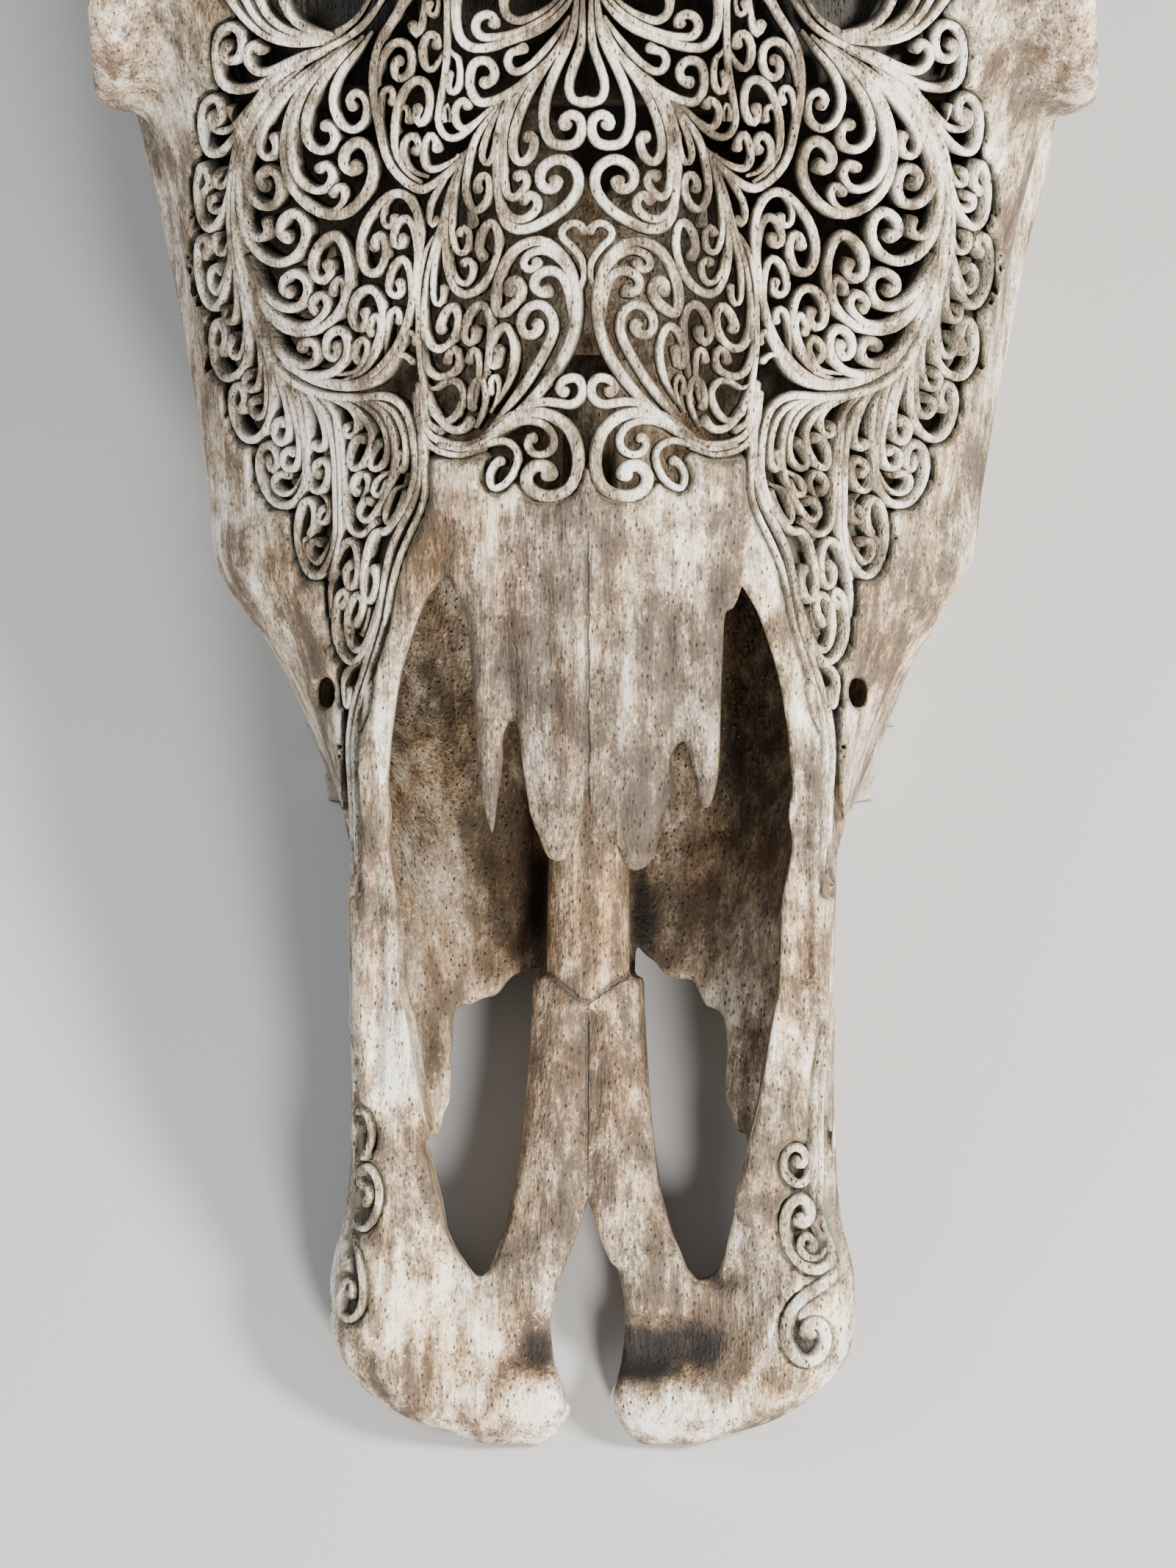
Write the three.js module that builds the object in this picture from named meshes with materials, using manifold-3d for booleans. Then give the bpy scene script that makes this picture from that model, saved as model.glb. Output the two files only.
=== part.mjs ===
// A carved bull skull without its lower jaw, resting on its cheek teeth, in millimetres.
// The bone is modelled in the face's own frame: x across, v along the face from the front tip of the
// snout to the poll, and w out of the forehead. The whole skull is then tipped to rest on its teeth.
import * as THREE from "three";
import { mergeVertices } from "three/addons/utils/BufferGeometryUtils.js";
import Module from "manifold-3d";

const wasm = await Module();
wasm.setup();

// Driving dimensions
const FACE_TILT = THREE.MathUtils.degToRad(18); // the forehead's slope when the skull rests on its teeth
const REST_LIFT = 36.6; // height of the face frame's origin over the table
const FLOOR_WALL = 6; // bone of the palate
const HEAD_STEPS = 1; // rings between two rows of the head's sections
const CAVITY_FRONT = 40;
const CAVITY_BACK = 290;
const TOOTH_GAP = 0.3; // room round a tooth in its socket
const TOOTH_INSET = 0.4; // half the space between neighbouring teeth
const UNDER_TABLE = 20; // how far uncut teeth reach below the table

const CROWN_HEIGHT = 14;
const ROOT_DEPTH = 7;

const BONE = new THREE.MeshStandardMaterial({ color: 0x9a8d7a, roughness: 0.5, metalness: 0 });
const HORN = new THREE.MeshStandardMaterial({ color: 0x2b2622, roughness: 0.35, metalness: 0 });
const ENAMEL = new THREE.MeshStandardMaterial({ color: 0xd9d3c2, roughness: 0.3, metalness: 0 });

// Half sections of the head, from the middle of the roof round the side to the middle of the palate.
// Each row is the distance v from the snout's tip, then nine [x, w] points.
const HEAD_SECTIONS = [
  [58, [0, -20], [20, -20], [38, -21], [46, -23], [49.5, -28], [50, -34], [48, -44], [40, -46], [0, -46]],
  [80, [0, -10], [20, -11], [38, -17], [46, -20], [50, -28], [51, -38], [50, -50], [40, -53], [0, -53]],
  [100, [0, -6], [18, -8], [36, -15], [46, -19], [51, -28], [52.5, -40], [52, -57], [42, -60], [0, -58]],
  [125, [0, -5], [18, -8], [34, -14], [46, -18], [52, -28], [54, -45], [54, -65], [44, -68], [0, -65]],
  [145, [0, -2], [18, -6], [32, -11], [46, -17], [53, -28], [58, -48], [60, -72], [46, -76], [0, -70]],
  [165, [0, -1], [18, -4], [32, -9], [46, -17], [57, -30], [67, -52], [65, -80], [48, -84], [0, -76]],
  [185, [0, 0], [18, -3], [34, -9], [50, -18], [64, -32], [80, -52], [70, -88], [50, -92], [0, -82]],
  [200, [0, 0], [20, -3], [38, -9], [54, -19], [68, -33], [81, -54], [72, -94], [52, -98], [0, -87]],
  [225, [0, 0], [22, -3], [42, -8], [59, -17], [73, -31], [84, -54], [74, -102], [54, -106], [0, -94]],
  [255, [0, 0], [25, -2], [46, -6], [65, -14], [79, -28], [89, -54], [76, -111], [54, -115], [0, -103]],
  [285, [0, 0], [28, -1], [52, -4], [73, -12], [88, -26], [96, -54], [76, -118], [52, -122], [0, -110]],
  [310, [0, 1], [30, 0], [58, -3], [80, -10], [93, -22], [95, -50], [70, -115], [44, -122], [0, -116]],
  [340, [0, 2], [30, 1], [58, -2], [80, -9], [89, -20], [80, -50], [58, -100], [34, -118], [0, -122]],
  [375, [0, 2], [30, 1], [56, -2], [74, -9], [79, -20], [52, -50], [49, -100], [36, -128], [0, -134]],
  [410, [0, 4], [30, 3], [56, 0], [75, -8], [82, -20], [54, -50], [51, -105], [38, -138], [0, -146]],
  [440, [0, 6], [30, 5], [58, 2], [79, -7], [87, -22], [68, -52], [60, -105], [41, -142], [0, -152]],
  [462, [0, 6], [30, 4], [56, 0], [76, -10], [84, -24], [80, -55], [66, -105], [42, -142], [0, -155]],
  [476, [0, -5], [28, -8], [50, -13], [66, -21], [72, -31], [70, -58], [58, -105], [36, -138], [0, -148]],
];

// Bone round the nose's air space, as [in x, in w], at the section's first five points.
const ROOF_BONE = [[0, 5], [0, 5], [1, 5], [4, 6], [7, 2]];
// The air space's lower side, as [in from the section's widest point, over the palate's inner face].
const LOWER_AIR = [[9, 12], [19, 3], [34, 0]];

// Edges seen from the front, as [x, v], for the right half; the left differs at the nasal tips.
const BAR_INNER_EDGE = [[22, 36.5], [26, 38.5], [29, 46], [31.5, 56], [34, 68], [37, 86], [39, 96],
  [41, 110], [41.5, 126], [43, 136], [42.5, 146], [40, 161], [37, 173], [33, 179]];
const NASAL_RIGHT = [[28.5, 175], [28, 160], [27.5, 146], [25.5, 134.5], [22.5, 142], [20, 148], [18, 143],
  [16, 132], [13, 123], [10, 121], [6, 125], [3, 131], [0, 138]];
const NASAL_LEFT = [[0, 138], [-2.5, 132], [-4, 124], [-6, 122], [-9, 125], [-11, 134], [-13.5, 147],
  [-16, 152.5], [-18, 147], [-20, 128.5], [-22, 145], [-24, 160], [-27, 176]];
const FISSURE = [[22, 36.5], [26, 38.5], [29, 46], [31.5, 56], [33, 66], [31, 76], [30, 85], [28, 90],
  [24, 94.5], [17, 99], [11, 104], [10.6, 96], [12, 80], [13.5, 66], [15, 56], [17.5, 46], [20, 39]];

// The gap between the front bones, right half.
const TIP_GAP = [[0, 53], [2.5, 46], [5.5, 36], [7, 27], [6, 19], [3.5, 10], [5, 4], [9, -3]];

// The front bone of each side: [v, inner x, outer x, rim w, hollow w, underside w].
const INCISIVE = [
  [0, 11, 34, -34, -35, -38],
  [3, 6.5, 43, -30, -31, -40.5],
  [9, 3.5, 49.5, -27, -29, -41.5],
  [16, 4.5, 53, -25, -30, -42],
  [25, 7, 55.5, -24, -32, -42],
  [33, 6, 55.5, -23, -32, -42],
  [42, 4, 53.5, -23, -32, -43],
  [52, 0.5, 51.5, -22, -31, -44],
  [64, -0.5, 50.5, -22, -31, -46],
];
// Section of a front bone, as [share of its width, level], round from its inner edge.
const INCISIVE_SECTION = [[0, "middle"], [0.05, "low"], [0.3, "hollow"], [0.65, "low"], [0.88, "rim"],
  [1, "middle"], [0.85, "under"], [0.1, "under"]];
// The two inner rods of the front bones and the ridge behind them: [v, half width, top w, underside w].
const MIDDLE_RODS = [[48, 17, -31, -43], [60, 15, -33, -46], [70, 13.3, -35, -48], [85, 11.5, -37, -51],
  [98, 10, -38.5, -54]];
const MIDDLE_RIDGE = [[92, 8.5, -38, -57], [120, 8.5, -39, -66], [160, 7, -40, -78], [230, 5, -42, -98]];
const RIDGE_BEVEL = 2;

// The bony cup of the eye: its middle, and rows of [x, half length along v, half height along w].
const ORBIT = { v: 321, w: -46 };
const ORBIT_CUP = [[66, 30, 26], [88, 36, 32], [100, 39.5, 35.5], [106, 37, 33]];
const ORBIT_CUP_SIDES = 16;
const ORBIT_HOLLOW = new THREE.Vector3(109, ORBIT.v, ORBIT.w);
const ORBIT_HOLLOW_RADII = new THREE.Vector3(43, 31, 28);

// The air spaces behind the forehead: [v, half width, top w, bottom w].
const SINUS = [[276, 44, -5, -40], [305, 50, -5, -40], [340, 52, -4, -36], [380, 50, -4, -32],
  [420, 40, -4, -26]];
const SINUS_FOOT = { inset: 8, rise: 6 }; // the slope between its side and its bottom
const SINUS_SHOULDER = { drop: 12, share: 0.6, crown: 1 }; // the slope between its side and its crowned top
// The rear openings of the nose, under the end of the palate.
const REAR_NOSTRIL = [[0, 262, -84, 14], [0, 292, -100, 16], [0, 330, -130, 15]];

// Pierced gaps of the scroll carving on the right half: [x, v, length, width, turn in degrees].
const SIDE_GAPS = [
  [7, 206, 12, 9, 60], [28, 216, 13, 7, 20], [9, 236, 17, 8, 75],
  [23, 251, 18, 6, 80], [6, 263, 12, 8, 50], [13, 275, 13, 5, 70], [20, 287, 12, 7, 35],
  [34, 274, 16, 7, 50], [41, 251, 14, 7, 60], [50, 264, 16, 7, 40],
  [52, 280, 15, 7, 60], [54, 247, 12, 8, 50], [63, 254, 13, 7, 30], [63, 240, 15, 7, 35],
  [48, 234, 15, 7, 50], [68, 268, 15, 6, 75], [69, 288, 13, 6, 15], [56, 300, 18, 7, 5],
  [14, 308, 15, 8, 60], [34, 302, 14, 7, 70],
  [15, 332, 17, 8, 50], [37, 327, 16, 8, 110], [17, 362, 17, 8, 60], [38, 352, 15, 7, 60],
];
// Teardrop of a gap, in shares of its length and width.
const GAP_DROP = [[-0.5, 0], [0, -0.46], [0.44, -0.3], [0.46, 0.28], [0.05, 0.46]];
const MIDDLE_GAPS = [[0, 286, 11, 6, 90], [0, 268, 8, 4, 90], [0, 252, 9, 7, 0], [0, 230, 16, 7, 90]];
const MIDDLE_GAP_FLOOR = -20;
const SIDE_GAP_FLOOR = -44;
const MIDDLE_REACH = 15; // gaps nearer the middle than this stop above the ridge inside the nose
const ABOVE_FACE = 40; // cuts start this far over the face
const BELOW_PALATE = -90;
const APERTURE_FLOOR = -44;

const CHEEK_ARCH = [[92, 296, -74, 9], [99, 325, -82, 8], [95, 360, -87, 6], [86, 398, -93, 6],
  [64, 434, -98, 9]];
const CHEEK_RIDGE = [[94, 300, -74, 9], [87, 262, -70, 7], [80, 228, -62, 6], [73, 196, -54, 6]];
const HORN_CORE = [[60, 446, -27, 27], [92, 453, -26, 24], [125, 461, -19, 18], [158, 471, -7, 11],
  [182, 481, 6, 4]];
const HORN_SHEATH = [[93, 453.2, -25.8, 31], [125, 461, -19, 29], [158, 471, -7, 25.5], [189, 486, 11, 20],
  [211, 506, 32, 14], [222, 528, 54, 8], [222, 548, 74, 2]];
const SHEATH_CLEARANCE = 0.5;

const CONDYLE = new THREE.Vector3(23, 478, -146);
const CONDYLE_RADII = new THREE.Vector3(15, 16, 20);
const BULLA = new THREE.Vector3(38, 428, -150);
const BULLA_RADII = new THREE.Vector3(14, 22, 18);
const BRAIN = new THREE.Vector3(0, 400, -85);
const BRAIN_RADII = new THREE.Vector3(33, 50, 36);
const SPINAL_HOLE = [[0, 500, -140, 17], [0, 460, -136, 17], [0, 425, -112, 15]];
const NERVE_HOLE = [[64, 150, -43, 4], [50, 166, -40, 3.2]];
const BASE_ROD = [[0, 472, -150, 20], [0, 430, -150, 19], [0, 380, -140, 15], [0, 350, -128, 12]];
const JUGULAR_TOP = [46, 454, -142, 12];
const JUGULAR_MIDDLE = [46, 456, -160, 9];
const JUGULAR_TIP = { x: 43, v: 452, height: 4, radius: 5 }; // height over the table
const PALATE_WING = [[30, 288, -112, 6], [28, 315, -124, 5], [25, 345, -134, 4.5]];

const SLAB = new THREE.Vector3(400, 1200, 200); // cuts off all that is below the table

// Upper cheek teeth, from the front: distance v to the middle, x, length along the row, and width.
const TEETH = [
  ["premolar_1", 146, 53, 14, 13],
  ["premolar_2", 162, 57, 15, 15],
  ["premolar_3", 178.5, 60.5, 15, 17],
  ["molar_1", 198, 63, 21, 20],
  ["molar_2", 221.5, 65, 23, 21],
  ["molar_3", 246.5, 65.5, 24, 20],
];

// A tooth's plan in shares of its half width and half length, with a fold in its cheek side.
const TOOTH_PLAN = [[-1, -0.7], [-0.7, -1], [0.6, -1], [1, -0.6], [0.86, 0], [1, 0.6], [0.6, 1],
  [-0.7, 1], [-1, 0.7]];

// Manifold solid of a closed geometry, whatever its extra attributes are.
function solid(geometry) {
  const bare = geometry.clone();
  bare.deleteAttribute("normal");
  bare.deleteAttribute("uv");
  const merged = mergeVertices(bare, 1e-4);
  const made = new wasm.Manifold(new wasm.Mesh({
    numProp: 3,
    vertProperties: new Float32Array(merged.attributes.position.array),
    triVerts: new Uint32Array(merged.index.array),
  }));
  return made.volume() < 0 ? solid(reversed(bare)) : made;
}

function reversed(geometry) {
  const turned = geometry.clone();
  const index = Array.from(turned.index.array);
  for (let i = 0; i < index.length; i += 3) {
    [index[i + 1], index[i + 2]] = [index[i + 2], index[i + 1]];
  }
  turned.setIndex(index);
  return turned;
}

function geometryOf(made) {
  const mesh = made.getMesh();
  const geometry = new THREE.BufferGeometry();
  geometry.setAttribute("position", new THREE.BufferAttribute(new Float32Array(mesh.vertProperties), 3));
  geometry.setIndex(Array.from(mesh.triVerts));
  geometry.computeVertexNormals();
  return geometry;
}

// Skin over rings of equal length, closed by a fan at each end.
function loft(rings) {
  const count = rings[0].length;
  const points = rings.flat().map((p) => [p.x, p.y, p.z]).flat();
  const index = [];
  for (let r = 0; r + 1 < rings.length; r++) {
    for (let i = 0; i < count; i++) {
      const a = r * count + i;
      const b = r * count + ((i + 1) % count);
      index.push(a, b, a + count, b, b + count, a + count);
    }
  }
  for (const [r, flip] of [[0, true], [rings.length - 1, false]]) {
    const middle = new THREE.Vector3();
    rings[r].forEach((p) => middle.addScaledVector(p, 1 / count));
    const centre = points.length / 3;
    points.push(middle.x, middle.y, middle.z);
    for (let i = 0; i < count; i++) {
      const a = r * count + i;
      const b = r * count + ((i + 1) % count);
      index.push(centre, flip ? b : a, flip ? a : b);
    }
  }
  const geometry = new THREE.BufferGeometry();
  geometry.setAttribute("position", new THREE.Float32BufferAttribute(points, 3));
  geometry.setIndex(index);
  return solid(geometry);
}

// Values of a smooth curve through rows of numbers, at a given number of steps between rows.
function smoothRows(rows, steps) {
  const spline = (a, b, c, d, t) => 0.5 * (2 * b + (c - a) * t + (2 * a - 5 * b + 4 * c - d) * t * t
    + (3 * b - a - 3 * c + d) * t * t * t);
  const made = [];
  for (let i = 0; i + 1 < rows.length; i++) {
    const before = rows[Math.max(i - 1, 0)];
    const after = rows[Math.min(i + 2, rows.length - 1)];
    for (let s = 0; s < steps; s++) {
      made.push(rows[i].map((start, k) => spline(before[k], start, rows[i + 1][k], after[k], s / steps)));
    }
  }
  made.push(rows[rows.length - 1]);
  return made;
}

// A full ring at distance v from half a section: the half, then its mirror image.
function mirroredRing(v, half) {
  const right = half.map(([x, w]) => new THREE.Vector3(x, v, w));
  const left = half.slice(1, -1).reverse().map(([x, w]) => new THREE.Vector3(-x, v, w));
  return [...right, ...left];
}

// Round or oval rod through rows of [x, v, w, radius]; flat stretches its height.
function rod(rows, sides = 10, flat = 1, steps = 2) {
  const fine = smoothRows(rows, steps);
  const path = new THREE.CatmullRomCurve3(fine.map(([x, v, w]) => new THREE.Vector3(x, v, w)));
  const rings = fine.map(([x, v, w, radius], k) => {
    const along = path.getTangent(k / (fine.length - 1));
    const upright = Math.abs(along.z) > 0.8;
    const side = new THREE.Vector3(upright ? 1 : 0, 0, upright ? 0 : 1).cross(along).normalize();
    const up = along.clone().cross(side).normalize();
    return Array.from({ length: sides }, (_, i) => {
      const angle = (2 * Math.PI * i) / sides;
      return new THREE.Vector3(x, v, w)
        .addScaledVector(side, radius * Math.cos(angle))
        .addScaledVector(up, flat * radius * Math.sin(angle));
    });
  });
  return loft(rings);
}

function ball(centre, radii, widthSegments = 12, heightSegments = 8) {
  const geometry = new THREE.SphereGeometry(1, widthSegments, heightSegments);
  geometry.scale(radii.x, radii.y, radii.z).translate(centre.x, centre.y, centre.z);
  return solid(geometry);
}

// Upright prism over an outline in x and v, between two levels of w.
function prism(outline, low, high) {
  const shape = new THREE.Shape(outline.map(([x, v]) => new THREE.Vector2(x, v)));
  const geometry = new THREE.ExtrudeGeometry(shape, { depth: high - low, bevelEnabled: false });
  return solid(geometry.translate(0, 0, low));
}

const mirrored = (made) => made.mirror([1, 0, 0]);
const bothSides = (made) => made.add(mirrored(made));
const mirroredOutline = (outline) => outline.map(([x, v]) => [-x, v]).reverse();

// Skin over half sections, as rows of v and then the points' x and w, with their mirror images.
function mirroredLoft(rows, steps) {
  const rings = smoothRows(rows, steps).map(([v, ...flat]) => {
    const half = Array.from({ length: flat.length / 2 }, (_, i) => [flat[2 * i], flat[2 * i + 1]]);
    return mirroredRing(v, half);
  });
  return loft(rings);
}

function head() {
  return mirroredLoft(HEAD_SECTIONS.map(([v, ...half]) => [v, ...half.flat()]), HEAD_STEPS);
}

// The hollow inside the snout, one wall inside the head's sections and level with the palate's inner face.
function cavity() {
  const inside = HEAD_SECTIONS.filter(([v]) => v <= CAVITY_BACK).map(([v, ...half]) => {
    const [wide, level] = half[ROOF_BONE.length];
    const floor = half[half.length - 1][1] + FLOOR_WALL;
    const upper = ROOF_BONE.map(([x, w], i) => [half[i][0] - x, half[i][1] - w]);
    const lower = LOWER_AIR.map(([x, w]) => [wide - x, floor + w]);
    lower[0][1] = Math.max(level, lower[0][1]);
    return [v, ...upper.flat(), ...lower.flat(), 0, floor];
  });
  inside.unshift([CAVITY_FRONT, ...inside[0].slice(1)]);
  return mirroredLoft(inside, 1);
}

// The front bones: a shallow scoop on each side of the gap at the tip.
function incisiveBone() {
  const fine = smoothRows(INCISIVE, 2);
  const rings = fine.map(([v, inner, outer, rim, hollow, under]) => {
    const levels = { rim, hollow, under, middle: (rim + under) / 2, low: (rim + hollow) / 2 };
    return INCISIVE_SECTION.map(([share, level]) => (
      new THREE.Vector3(inner + share * (outer - inner), v, levels[level])));
  });
  return loft(rings);
}

// Ridge with bevelled top edges, through rows of [v, half width, top w, underside w].
function boxedRidge(rows) {
  return loft(rows.map(([v, half, top, under]) => {
    const flat = half - RIDGE_BEVEL;
    const edge = top - RIDGE_BEVEL;
    const section = [[-half, under], [half, under], [half, edge], [flat, top], [-flat, top], [-half, edge]];
    return section.map(([x, w]) => new THREE.Vector3(x, v, w));
  }));
}

// Flat hollow with a crowned top, through rows of [v, half width, top w, bottom w].
function boxedHollow(rows) {
  return loft(rows.map(([v, half, top, under]) => {
    const foot = half - SINUS_FOOT.inset;
    const heel = under + SINUS_FOOT.rise;
    const side = top - SINUS_SHOULDER.drop;
    const crown = top - SINUS_SHOULDER.crown;
    const wide = half * SINUS_SHOULDER.share;
    const section = [[-half, heel], [-foot, under], [foot, under], [half, heel],
      [half, side], [wide, crown], [-wide, crown], [-half, side]];
    return section.map(([x, w]) => new THREE.Vector3(x, v, w));
  }));
}

// Teardrop of the carving's gaps, pointed at one end.
function gapOutline([x, v, length, width, turn]) {
  const angle = THREE.MathUtils.degToRad(turn);
  return GAP_DROP.map(([a, b]) => [
    x + a * length * Math.cos(angle) - b * width * Math.sin(angle),
    v + a * length * Math.sin(angle) + b * width * Math.cos(angle),
  ]);
}

function carvedGaps() {
  const floor = ([x]) => (x < MIDDLE_REACH ? MIDDLE_GAP_FLOOR : SIDE_GAP_FLOOR);
  const side = SIDE_GAPS.map((gap) => prism(gapOutline(gap), floor(gap), ABOVE_FACE));
  const middle = MIDDLE_GAPS.map((gap) => prism(gapOutline(gap), MIDDLE_GAP_FLOOR, ABOVE_FACE));
  const right = wasm.Manifold.union(side);
  return wasm.Manifold.union([right, mirrored(right), ...middle]);
}

// Level of w at which a point at distance v touches the table.
const tableLevel = (v, height = 0) =>
  (height - REST_LIFT - v * Math.sin(FACE_TILT)) / Math.cos(FACE_TILT);

function orbitCup() {
  return loft(ORBIT_CUP.map(([x, long, high]) => Array.from({ length: ORBIT_CUP_SIDES }, (_, i) => {
    const angle = (2 * Math.PI * i) / ORBIT_CUP_SIDES;
    return new THREE.Vector3(x, ORBIT.v + long * Math.cos(angle), ORBIT.w + high * Math.sin(angle));
  })));
}

function backOfSkull() {
  const { x, v, height, radius } = JUGULAR_TIP;
  const jugularTip = [x, v, tableLevel(v, height), radius];
  const parts = [
    ball(CONDYLE, CONDYLE_RADII, 10, 6),
    ball(BULLA, BULLA_RADII, 10, 6),
    rod([JUGULAR_TOP, JUGULAR_MIDDLE, jugularTip], 8, 1, 1),
    rod(PALATE_WING, 6, 2.6, 1),
  ];
  return parts.reduce((sum, p) => sum.add(bothSides(p)), rod(BASE_ROD, 12, 0.8));
}

function toothPlan([, v, x, length, width], inset) {
  return TOOTH_PLAN.map(([across, along]) => [
    x + across * (width / 2 - inset),
    v + along * (length / 2 - inset),
  ]);
}

function upperTeeth() {
  return TEETH.map((row) => {
    const [name, v] = row;
    const low = tableLevel(v, -UNDER_TABLE);
    const top = tableLevel(v, CROWN_HEIGHT) + ROOT_DEPTH;
    const crown = prism(toothPlan(row, TOOTH_INSET), low, top);
    const socket = prism(toothPlan(row, TOOTH_INSET - TOOTH_GAP), low, top + TOOTH_GAP);
    return { name, crown, socket };
  });
}

// Everything below the table, in the face's frame.
function underTable() {
  const slab = new THREE.BoxGeometry(SLAB.x, SLAB.y, SLAB.z);
  slab.translate(0, 0, -SLAB.z / 2 - REST_LIFT).rotateX(-FACE_TILT);
  return solid(slab);
}

const teeth = upperTeeth();

function skull() {
  const split = [...TIP_GAP, ...mirroredOutline(TIP_GAP.slice(1))];
  const aperture = [...BAR_INNER_EDGE, ...NASAL_RIGHT, ...NASAL_LEFT.slice(1),
    ...mirroredOutline(BAR_INNER_EDGE)];
  const hornCore = rod(HORN_CORE, 12, 1, 1);
  let made = head().add(bothSides(orbitCup()));
  made = made.subtract(cavity()).subtract(boxedHollow(SINUS));
  made = made.subtract(prism(aperture, APERTURE_FLOOR, ABOVE_FACE)).add(bothSides(incisiveBone()));
  made = made.subtract(bothSides(prism(FISSURE, BELOW_PALATE, ABOVE_FACE)));
  made = made.add(boxedRidge(MIDDLE_RODS)).add(boxedRidge(MIDDLE_RIDGE));
  made = made.subtract(prism(split, BELOW_PALATE, ABOVE_FACE));
  made = made.add(bothSides(rod(CHEEK_RIDGE, 8, 1, 1))).add(bothSides(rod(CHEEK_ARCH, 8, 1.4, 1)));
  made = made.subtract(bothSides(ball(ORBIT_HOLLOW, ORBIT_HOLLOW_RADII, 14, 8)));
  made = made.subtract(carvedGaps()).add(bothSides(hornCore)).add(backOfSkull());
  made = made.subtract(rod(REAR_NOSTRIL, 10, 1, 1)).subtract(ball(BRAIN, BRAIN_RADII, 12, 6));
  made = made.subtract(rod(SPINAL_HOLE, 10, 1, 1)).subtract(bothSides(rod(NERVE_HOLE, 6, 1, 1)));
  made = made.subtract(underTable());
  return teeth.reduce((sum, tooth) => sum.subtract(bothSides(tooth.socket)), made);
}

function hornSheath() {
  const core = HORN_CORE.map(([x, v, w, radius]) => [x, v, w, radius + SHEATH_CLEARANCE]);
  return rod(HORN_SHEATH, 12).subtract(rod(core, 12, 1, 1));
}

const object = new THREE.Group();
const tipped = new THREE.Group();
tipped.rotation.x = FACE_TILT;
tipped.position.z = REST_LIFT;
object.add(tipped);

function addPiece(name, made, material) {
  const mesh = new THREE.Mesh(geometryOf(made), material);
  mesh.name = name;
  tipped.add(mesh);
}

addPiece("skull", skull(), BONE);
addPiece("horn_right", hornSheath(), HORN);
addPiece("horn_left", mirrored(hornSheath()), HORN);
const ground = underTable();
for (const tooth of teeth) {
  const crown = tooth.crown.subtract(ground);
  addPiece(`${tooth.name}_right`, crown, ENAMEL);
  addPiece(`${tooth.name}_left`, mirrored(crown), ENAMEL);
}

// The origin is the middle of the box's underside.
object.updateMatrixWorld(true);
const box = new THREE.Box3().setFromObject(object, true);
tipped.position.y -= (box.min.y + box.max.y) / 2;
tipped.position.x -= (box.min.x + box.max.x) / 2;
tipped.position.z -= box.min.z;

export default object;
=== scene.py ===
# A carved bull skull without its lower jaw, resting on its cheek teeth, dressed around its fixed frame.
# Forms are worked out in millimetres in the face's own frame: x across, v along the face from the tip of
# the snout to the poll, and w out of the forehead. They are then tipped into the frame's metres.
import math
import random

import bpy
import numpy as np
import openvdb as vdb
from mathutils import Matrix, Vector


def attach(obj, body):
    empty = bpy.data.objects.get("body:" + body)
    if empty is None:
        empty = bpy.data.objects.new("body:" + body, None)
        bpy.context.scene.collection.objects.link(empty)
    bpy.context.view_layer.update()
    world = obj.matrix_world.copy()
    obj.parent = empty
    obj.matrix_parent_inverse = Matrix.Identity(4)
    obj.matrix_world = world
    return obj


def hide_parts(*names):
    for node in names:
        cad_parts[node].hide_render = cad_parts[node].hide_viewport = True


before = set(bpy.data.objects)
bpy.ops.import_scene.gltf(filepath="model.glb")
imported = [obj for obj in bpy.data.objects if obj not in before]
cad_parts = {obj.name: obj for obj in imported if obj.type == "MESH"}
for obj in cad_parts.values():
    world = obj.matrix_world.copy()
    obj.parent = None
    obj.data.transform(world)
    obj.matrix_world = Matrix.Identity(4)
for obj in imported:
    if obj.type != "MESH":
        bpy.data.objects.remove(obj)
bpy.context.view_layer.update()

# Driving dimensions, as in the frame, in millimetres
MM = 0.001
FACE_TILT = math.radians(18.0)
REST_LIFT = 36.6
FACE_START_Y = -263.1726  # the frame's Y where the face's v and w are 0
ROOF_BONE = [[0, 5], [0, 5], [1, 5], [4, 6], [7, 2]]  # from a section's points to the air under them
LOWER_AIR = [[9, 12], [19, 3], [34, 0]]  # the air's lower corners, from the widest point and the floor
FLOOR_WALL = 6.0
CAVITY_FRONT = 40.0
CAVITY_BACK = 290.0

# The camera looks straight onto the face, from a little to the right, with the poll at the picture's top
VIEW_DISTANCE = 2000.0
VIEW_MIDDLE = (0.3, 139.2)
VIEW_SIDE_STEP = 69.0
PICTURE_HEIGHT = 324.7
SENSOR = 24.0

SIDE_NAMES = {1: "right", -1: "left"}

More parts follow.
